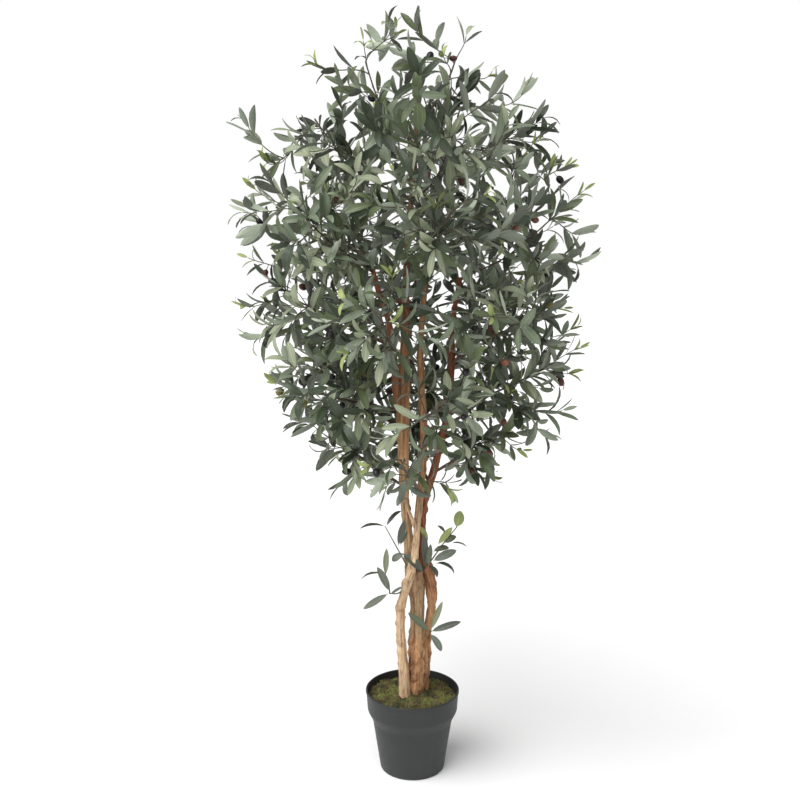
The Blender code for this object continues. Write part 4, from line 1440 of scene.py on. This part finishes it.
def make_crown(settings):
    """The twigs and leaves of every mass, joined tier by tier, each kind apart."""
    bark = twig_wrap("twig_bark", tuple(settings.twig_colour))
    finishes = leaf_finishes(settings)
    templates = leaf_templates()
    rng = random.Random(settings.leaf_seed)
    for tier in crown_tiers():
        nodes = named(f"foliage_{tier}_")
        sprays = [spray for spray in crown_sprays() if spray.mass in nodes]
        twigs = wire_mesh(f"twigs_{tier}", [spray.line for spray in sprays])
        add_piece(f"twigs_{tier}", twigs, [bark], nodes)
        leaves = [leaf for spray in sprays for leaf in spray_leaves(spray, settings, rng)]
        mesh = leaf_mesh(f"leaves_{tier}", leaves, templates)
        add_piece(f"leaves_{tier}", mesh, finishes, nodes)


OLIVE_TAPER = 0.12
STALK_LENGTHS = (0.008, 0.014)
STALK_RADII = (0.0006, 0.0006, 0.0009)
STALK_STEP = 0.004
FRUIT_WEIGHTS = (3, 9, 2, 1)


def olive_template(settings):
    """One olive at full size, a little narrower at its tip."""
    shape = bmesh.new()
    bmesh.ops.create_uvsphere(shape, u_segments=12, v_segments=8, radius=0.5)
    for vert in shape.verts:
        width = settings.width * (1.0 - OLIVE_TAPER * vert.co.z)
        vert.co = (vert.co.x * width, vert.co.y * width, vert.co.z * settings.length)
    bmesh.ops.triangulate(shape, faces=shape.faces)
    return to_mesh("olive", shape)


def make_fruit(settings):
    """Olives on short stalks, hung among the outer sprays."""
    rng = random.Random(settings.seed)
    turns, places, stalks, tones = [], [], [], []
    outer = [spray for spray in crown_sprays() if spray.rank != INNER]
    for spray in rng.sample(outer, min(settings.count, len(outer))):
        foot, tangent = spray.line.at(spray.line.length - rng.uniform(0.2, 0.85) * spray.leafy)
        side = unit(np.cross(tangent, [rng.gauss(0, 1) for _ in range(3)]))
        hang = unit(side + 0.5 * unit(np.array((foot[0], foot[1], 0.0))) - rng.uniform(0.1, 0.8) * UP)
        stalk = rng.uniform(*STALK_LENGTHS)
        size = rng.uniform(0.85, 1.12)
        across = unit(np.cross(hang, (0.3, 0.2, 0.9)))
        turns.append(np.stack((across, np.cross(hang, across), hang), axis=1) * size)
        places.append(foot + hang * (stalk + settings.length * size * 0.47))
        end = foot + hang * (stalk + settings.length * 0.08)
        stalks.append(Line([foot, foot + hang * stalk * 0.5, end], STALK_RADII, STALK_STEP))
        tones.append(rng.choices(range(4), FRUIT_WEIGHTS)[0])
    mesh = joined_copies("olives", [olive_template(settings)], turns, places, [0] * len(places), tones)
    colours = (settings.dark_colour, settings.black_colour, settings.red_colour, settings.green_colour)
    finishes = [olive_skin(f"olive_skin_{k + 1}", tuple(colour)) for k, colour in enumerate(colours)]
    add_piece("olives", mesh, finishes)
    bark = twig_wrap("stalk_bark", tuple(bpy.context.scene.olive_crown.twig_colour))
    add_piece("olive_stalks", wire_mesh("olive_stalks", stalks), [bark])


# ---------------------------------------------------------------- trunk shoots


class ShootLeaf(NamedTuple):
    """A leaf of a trunk shoot: foot, tip, width share, how far it faces the front, shape and tone."""

    foot: tuple
    tip: tuple
    width: float
    open: float
    shape: int
    tone: int


SHOOT_TWIG_RADII = (0.0017, 0.0010)
SHOOT_STEP = 0.005
SHOOT_LEAF_WIDTH = 0.048
SHOOT_NODES = ("shoot_left_high", "shoot_left_low", "shoot_right_high", "shoot_right_low")
SHOOT_TWIGS = (
    ((-0.004, -0.006, 0.418), (-0.025, -0.014, 0.462), (-0.055, -0.020, 0.520)),
    ((-0.011, -0.012, 0.392), (-0.030, -0.020, 0.378), (-0.047, -0.022, 0.382)),
    ((-0.046, -0.022, 0.381), (-0.047, -0.024, 0.400), (-0.055, -0.022, 0.419)),
    ((0.024, 0.006, 0.424), (0.038, -0.004, 0.445), (0.061, -0.012, 0.483), (0.088, -0.012, 0.517)),
    ((0.031, -0.002, 0.438), (0.031, -0.006, 0.463), (0.028, -0.006, 0.488)),
    ((0.033, 0.016, 0.268), (0.035, 0.000, 0.284), (0.036, -0.012, 0.300)),
)
SHOOT_LEAVES = (
    ShootLeaf((-0.056, -0.020, 0.520), (-0.104, -0.026, 0.527), 0.85, 0.15, 2, SLATE),
    ShootLeaf((-0.052, -0.020, 0.520), (-0.033, -0.018, 0.561), 0.75, 0.25, 3, SLATE),
    ShootLeaf((-0.029, -0.016, 0.479), (-0.018, -0.022, 0.531), 1.00, 0.60, 0, SLATE),
    ShootLeaf((-0.025, -0.012, 0.479), (-0.012, -0.002, 0.510), 0.85, 0.35, 4, GREEN),
    ShootLeaf((-0.021, -0.014, 0.462), (0.021, -0.034, 0.438), 1.25, 0.75, 2, SLATE),
    ShootLeaf((-0.018, -0.014, 0.462), (-0.045, -0.020, 0.451), 1.10, 0.70, 3, GREY),
    ShootLeaf((-0.049, -0.022, 0.381), (-0.099, -0.028, 0.354), 1.00, 0.85, 5, GREY),
    ShootLeaf((-0.055, -0.022, 0.420), (-0.107, -0.018, 0.427), 0.80, 0.12, 3, SLATE),
    ShootLeaf((-0.046, -0.022, 0.386), (-0.066, -0.030, 0.437), 1.15, 0.75, 1, GREY),
    ShootLeaf((-0.054, -0.022, 0.419), (-0.054, -0.016, 0.473), 0.90, 0.85, 4, SAGE),
    ShootLeaf((-0.045, -0.022, 0.380), (-0.024, -0.034, 0.399), 0.90, 0.35, 5, GREY),
    ShootLeaf((0.027, -0.002, 0.431), (0.021, -0.016, 0.500), 1.05, 0.95, 0, SLATE),
    ShootLeaf((0.031, -0.004, 0.431), (0.033, -0.012, 0.483), 0.90, 0.60, 4, GREEN),
    ShootLeaf((0.041, -0.008, 0.445), (0.084, -0.016, 0.471), 1.30, 0.85, 2, GREY),
    ShootLeaf((0.046, -0.004, 0.438), (0.094, -0.012, 0.435), 0.95, 0.25, 7, SLATE),
    ShootLeaf((0.050, -0.012, 0.480), (0.077, -0.010, 0.516), 1.00, 0.80, 4, YOUNG),
    ShootLeaf((0.086, -0.013, 0.516), (0.097, -0.010, 0.547), 1.60, 0.90, 1, YOUNG),
    ShootLeaf((0.064, -0.012, 0.483), (0.082, -0.014, 0.502), 1.10, 0.50, 2, GREEN),
    ShootLeaf((0.077, -0.012, 0.483), (0.109, -0.010, 0.482), 0.60, 0.15, 2, GREY),
    ShootLeaf((0.064, -0.012, 0.503), (0.056, -0.014, 0.524), 0.60, 0.35, 3, GREEN),
    ShootLeaf((0.031, -0.004, 0.485), (0.015, -0.010, 0.515), 0.90, 0.60, 0, YOUNG),
    ShootLeaf((0.033, 0.002, 0.431), (0.057, -0.012, 0.416), 0.90, 0.35, 7, SLATE),
    ShootLeaf((0.027, 0.000, 0.430), (0.011, -0.018, 0.429), 0.80, 0.40, 1, SLATE),
    ShootLeaf((0.041, -0.010, 0.465), (0.071, -0.014, 0.481), 1.00, 0.50, 3, GREEN),
    ShootLeaf((0.034, -0.010, 0.296), (-0.004, -0.026, 0.342), 1.05, 0.80, 5, GREEN),
    ShootLeaf((0.037, -0.012, 0.300), (0.058, -0.010, 0.361), 0.90, 0.80, 4, SAGE),
    ShootLeaf((0.037, -0.012, 0.297), (0.094, -0.022, 0.321), 1.05, 0.70, 1, SLATE),
    ShootLeaf((0.036, -0.010, 0.291), (0.062, -0.024, 0.262), 1.05, 0.75, 2, GREY),
)


def make_shoots(settings):
    """The four small leafy shoots on the bare stems."""
    lines = []
    for points in SHOOT_TWIGS:
        eased = smoothed(Line(points, [1.0] * len(points), SHOOT_STEP).points, 4)
        lines.append(Line(eased, np.linspace(*SHOOT_TWIG_RADII, len(eased)), SHOOT_STEP))
    bark = twig_wrap("shoot_bark", tuple(settings.twig_colour))
    add_piece("shoot_twigs", wire_mesh("shoot_twigs", lines), [bark], SHOOT_NODES)
    leaves = []
    for leaf in SHOOT_LEAVES:
        foot, reach = np.array(leaf.foot), np.array(leaf.tip) - np.array(leaf.foot)
        length = np.linalg.norm(reach)
        face = np.array((0.1, -leaf.open, 1.05 - 0.8 * leaf.open))
        lean = unit(unit(reach) + 0.24 * LEAF_BENDS[leaf.shape] * unit(face))
        turn = leaf_turn(lean, face, length * 1.03, leaf.width * SHOOT_LEAF_WIDTH / length, 0.0)
        leaves.append(Leaf(foot, turn, leaf.shape, leaf.tone))
    mesh = leaf_mesh("shoot_leaves", leaves, leaf_templates())
    finishes = leaf_finishes(settings, "shoot", SHOOT_TONES)
    add_piece("shoot_leaves", mesh, finishes, SHOOT_NODES)


# ---------------------------------------------------------------- stage


FLOOR_RADIUS = 14.0
KEY_PLACE = (-1.5, -1.4, 2.6)
FILL_PLACE = (1.6, -1.6, 1.2)


def make_floor(settings):
    """A pale round floor, far wider than the tree."""
    shape = bmesh.new()
    bmesh.ops.create_circle(shape, cap_ends=True, segments=96, radius=FLOOR_RADIUS)
    floor = bpy.data.objects.new("floor", to_mesh("floor", shape, smooth=False))
    bpy.context.scene.collection.objects.link(floor)
    paint = Finish("floor_paint", tuple(settings.floor_colour), 0.9, Specular_IOR_Level=0.1)
    floor.data.materials.append(paint.material)


def make_surround(settings):
    """White light from all round, and a plain white backdrop to the camera."""
    world = bpy.data.worlds.new("studio")
    world.use_nodes = True
    backdrop = world.node_tree.nodes["Background"]
    backdrop.inputs["Color"].default_value = (1.0, 1.0, 1.0, 1.0)
    rays = world.node_tree.nodes.new("ShaderNodeLightPath")
    strength = world.node_tree.nodes.new("ShaderNodeMapRange")
    strength.inputs["To Min"].default_value = settings.surround
    world.node_tree.links.new(rays.outputs["Is Camera Ray"], strength.inputs["Value"])
    world.node_tree.links.new(strength.outputs["Result"], backdrop.inputs["Strength"])
    bpy.context.scene.world = world


def add_light(name, place, spread, power):
    """A far light that shines from a place towards the tree's foot."""
    lamp = bpy.data.lights.new(name, "SUN")
    lamp.angle = spread
    lamp.energy = power
    light = bpy.data.objects.new(name, lamp)
    light.location = place
    light.rotation_euler = Vector(place).to_track_quat("Z", "Y").to_euler()
    bpy.context.scene.collection.objects.link(light)


def add_camera(settings):
    """The camera, in front of the tree and looking down at it."""
    lens = bpy.data.cameras.new("camera")
    lens.lens = settings.lens
    lens.dof.use_dof = False
    camera = bpy.data.objects.new("camera", lens)
    camera.location = (settings.camera_side, -settings.camera_distance, settings.camera_height)
    camera.rotation_euler = (math.radians(90) - settings.camera_pitch, 0.0, 0.0)
    bpy.context.scene.collection.objects.link(camera)
    bpy.context.scene.camera = camera


def make_stage(settings):
    """A pale floor, soft studio light, and the camera."""
    bpy.context.scene.view_settings.view_transform = "Standard"
    make_floor(settings)
    make_surround(settings)
    add_light("key_light", KEY_PLACE, settings.key_softness, settings.key_power)
    add_light("fill_light", FILL_PLACE, settings.fill_softness, settings.fill_power)
    add_camera(settings)


# ---------------------------------------------------------------- settings


def colour_property(name, description, default):
    """A colour setting."""
    return FloatVectorProperty(
        name=name, description=description, default=default, subtype="COLOR", size=3, min=0.0, max=1.0
    )


def length_property(name, description, default):
    """A length setting, in metres."""
    return FloatProperty(name=name, description=description, default=default, min=0.0, unit="LENGTH")


def share_property(name, description, default):
    """A setting from none to all."""
    return FloatProperty(
        name=name, description=description, default=default, min=0.0, max=1.0, subtype="FACTOR"
    )


def angle_property(name, description, degrees):
    """An angle setting."""
    return FloatProperty(
        name=name, description=description, default=math.radians(degrees), unit="ROTATION"
    )


def seed_property(description, default, name="Seed"):
    """A setting that starts random choices."""
    return IntProperty(name=name, description=description, default=default)


class OlivePotSettings(bpy.types.PropertyGroup):
    """The nursery pot."""

    colour: colour_property("Plastic colour", "Colour of the moulded plastic", (0.0238, 0.0258, 0.0262))
    cement_colour: colour_property("Cement colour", "Colour of the cement in the pot", (0.38, 0.37, 0.35))
    roughness: share_property("Roughness", "How dull the plastic is", 0.5)
    sides: IntProperty(name="Sides", description="Facets round the pot", default=128, min=24, max=256)


class OliveMossSettings(bpy.types.PropertyGroup):
    """The moss in the pot's mouth."""

    colour: colour_property("Moss colour", "Colour of the dyed moss", (0.120, 0.122, 0.028))
    fronds: IntProperty(name="Fronds", description="Number of moss fronds", default=5200, min=0)
    seed: seed_property("Starts the moss's random choices", 11)


class OliveWoodSettings(bpy.types.PropertyGroup):
    """The bare stems and the boughs."""

    pale_colour: colour_property("Pale wood", "Colour of the palest stem", (0.60, 0.44, 0.285))
    brown_colour: colour_property("Brown wood", "Colour of the main stem", (0.31, 0.215, 0.125))
    orange_colour: colour_property("Orange wood", "Colour of the knobbly feet", (0.41, 0.235, 0.118))
    red_colour: colour_property("Red wood", "Colour of the thin upper stems", (0.25, 0.09, 0.048))
    bough_colour: colour_property("Bough bark", "Colour of the wrapped boughs", (0.10, 0.062, 0.04))
    relief: share_property("Relief", "Depth of the stems' ridges, as a share of their radius", 0.3)
    knot_spacing: length_property("Knot spacing", "Usual distance between branch scars", 0.035)
    seed: seed_property("Starts the wood's random choices", 21)


class OliveCrownSettings(bpy.types.PropertyGroup):
    """The twigs and leaves of the crown."""

    leaf_colour: colour_property("Leaf colour", "Colour of the middle tone", (0.095, 0.132, 0.070))
    young_colour: colour_property("Young leaf colour", "Colour of the young tips", (0.30, 0.36, 0.12))
    twig_colour: colour_property("Twig colour", "Colour of the twigs", (0.105, 0.10, 0.062))
    leaf_length: length_property("Leaf length", "Length of a full-grown leaf", 0.058)
    pair_spacing: length_property("Pair spacing", "Distance between pairs of leaves", 0.023)
    outer_spacing: length_property("Outer spacing", "Distance between sprays on the outside", 0.0495)
    inset: length_property("Inset", "How far in from the outline most outer sprays end", 0.038)
    inner_spacing: length_property("Inner spacing", "Distance between sprays inside", 0.061)
    leafy_length: FloatVectorProperty(
        name="Leafy length",
        description="Least and greatest length of twig that carries leaves",
        default=(0.11, 0.17),
        size=2,
        unit="LENGTH",
    )
    light_seeking: share_property("Light seeking", "How far leaves turn their tops up", 0.4)
    young_share: share_property("Young share", "Share of outer sprays with a young tip", 0.05)
    front_gap: share_property("Front gap", "Share of sprays left out in front of the stems", 0.7)
    seed: seed_property("Starts the sprays' random choices", 7)
    leaf_seed: seed_property("Starts the leaves' random choices", 11, "Leaf seed")


class OliveFruitSettings(bpy.types.PropertyGroup):
    """The olives."""

    count: IntProperty(name="Count", description="Number of olives", default=112, min=0)
    length: length_property("Length", "Length of an olive", 0.0165)
    width: length_property("Width", "Width of an olive", 0.0125)
    dark_colour: colour_property("Dark colour", "Colour of the dark red olives", (0.085, 0.026, 0.018))
    black_colour: colour_property("Black colour", "Colour of the ripest olives", (0.012, 0.010, 0.012))
    red_colour: colour_property("Red colour", "Colour of the reddish olives", (0.19, 0.066, 0.040))
    green_colour: colour_property("Green colour", "Colour of the unripe olives", (0.13, 0.12, 0.035))
    seed: seed_property("Starts the fruit's random choices", 31)


class OliveStageSettings(bpy.types.PropertyGroup):
    """The floor, the lights and the camera."""

    floor_colour: colour_property("Floor colour", "Colour of the floor", (0.96, 0.96, 0.96))
    surround: FloatProperty(name="Surround", description="Strength of the surround light", default=0.38)
    key_power: FloatProperty(name="Key power", description="Strength of the key light", default=3.35)
    key_softness: angle_property("Key softness", "How wide the key light is", 62)
    fill_power: FloatProperty(name="Fill power", description="Strength of the fill light", default=0.22)
    fill_softness: angle_property("Fill softness", "How wide the fill light is", 60)
    camera_side: FloatProperty(
        name="Camera side", description="Camera's place across the front", default=-0.0255, unit="LENGTH"
    )
    camera_distance: length_property("Camera distance", "Camera's distance in front of the pot", 2.0098)
    camera_height: length_property("Camera height", "Camera's height over the floor", 1.1246)
    camera_pitch: angle_property("Camera pitch", "How far the camera looks down", 10)
    lens: FloatProperty(name="Lens", description="Focal length in millimetres", default=46.98, min=1.0)


# ---------------------------------------------------------------- operators and panel


class OLIVE_OT_set_stage(bpy.types.Operator):
    """Set up the floor, the lights and the camera"""

    bl_idname = "olive.set_stage"
    bl_label = "Set Stage"

    def execute(self, context):
        make_stage(context.scene.olive_stage)
        return {"FINISHED"}


class OLIVE_OT_turn_pot(bpy.types.Operator):
    """Turn the nursery pot and finish the cement in it"""

    bl_idname = "olive.turn_pot"
    bl_label = "Turn Pot"

    def execute(self, context):
        make_pot(context.scene.olive_pot)
        finish_fill(context.scene.olive_pot)
        return {"FINISHED"}


class OLIVE_OT_lay_moss(bpy.types.Operator):
    """Lay the moss round the stems"""

    bl_idname = "olive.lay_moss"
    bl_label = "Lay Moss"

    def execute(self, context):
        make_moss(context.scene.olive_moss)
        return {"FINISHED"}


class OLIVE_OT_carve_stems(bpy.types.Operator):
    """Give the stems the relief and the colours of peeled wood"""

    bl_idname = "olive.carve_stems"
    bl_label = "Carve Stems"

    def execute(self, context):
        make_stems(context.scene.olive_wood)
        return {"FINISHED"}


class OLIVE_OT_wrap_boughs(bpy.types.Operator):
    """Make the thin wrapped boughs"""

    bl_idname = "olive.wrap_boughs"
    bl_label = "Wrap Boughs"

    def execute(self, context):
        make_boughs(context.scene.olive_wood)
        return {"FINISHED"}


class OLIVE_OT_grow_crown(bpy.types.Operator):
    """Grow the sprays of leaves from the boughs"""

    bl_idname = "olive.grow_crown"
    bl_label = "Grow Crown"

    def execute(self, context):
        make_crown(context.scene.olive_crown)
        return {"FINISHED"}


class OLIVE_OT_hang_fruit(bpy.types.Operator):
    """Hang the olives among the outer sprays"""

    bl_idname = "olive.hang_fruit"
    bl_label = "Hang Fruit"

    def execute(self, context):
        make_fruit(context.scene.olive_fruit)
        return {"FINISHED"}


class OLIVE_OT_grow_shoots(bpy.types.Operator):
    """Grow the small shoots on the bare stems"""

    bl_idname = "olive.grow_shoots"
    bl_label = "Grow Shoots"

    def execute(self, context):
        make_shoots(context.scene.olive_crown)
        return {"FINISHED"}


SETTINGS = {
    "olive_stage": OliveStageSettings,
    "olive_pot": OlivePotSettings,
    "olive_moss": OliveMossSettings,
    "olive_wood": OliveWoodSettings,
    "olive_crown": OliveCrownSettings,
    "olive_fruit": OliveFruitSettings,
}
OPERATORS = (
    OLIVE_OT_set_stage,
    OLIVE_OT_turn_pot,
    OLIVE_OT_lay_moss,
    OLIVE_OT_carve_stems,
    OLIVE_OT_wrap_boughs,
    OLIVE_OT_grow_crown,
    OLIVE_OT_grow_shoots,
    OLIVE_OT_hang_fruit,
)


class OLIVE_PT_tree(bpy.types.Panel):
    """Lists the tree's pieces and their settings"""

    bl_idname = "OLIVE_PT_tree"
    bl_label = "Olive Tree"
    bl_space_type = "VIEW_3D"
    bl_region_type = "UI"
    bl_category = "Olive Tree"

    def draw(self, context):
        for operator in OPERATORS:
            self.layout.operator(operator.bl_idname)
        for name, group in SETTINGS.items():
            box = self.layout.box()
            box.label(text=group.__doc__)
            for field in group.__annotations__:
                box.prop(getattr(context.scene, name), field)


def register():
    """Registers the settings, the operators and the panel."""
    for group in SETTINGS.values():
        bpy.utils.register_class(group)
    for name, group in SETTINGS.items():
        setattr(bpy.types.Scene, name, PointerProperty(type=group))
    for operator in OPERATORS:
        bpy.utils.register_class(operator)
    bpy.utils.register_class(OLIVE_PT_tree)


def unregister():
    """Takes back what register did."""
    bpy.utils.unregister_class(OLIVE_PT_tree)
    for operator in reversed(OPERATORS):
        bpy.utils.unregister_class(operator)
    for name in SETTINGS:
        delattr(bpy.types.Scene, name)
    for group in reversed(SETTINGS.values()):
        bpy.utils.unregister_class(group)


def main():
    """Builds the tree and its stage, in order."""
    register()
    for operator in OPERATORS:
        group, action = operator.bl_idname.split(".")
        getattr(getattr(bpy.ops, group), action)()


if __name__ == "__main__":
    main()
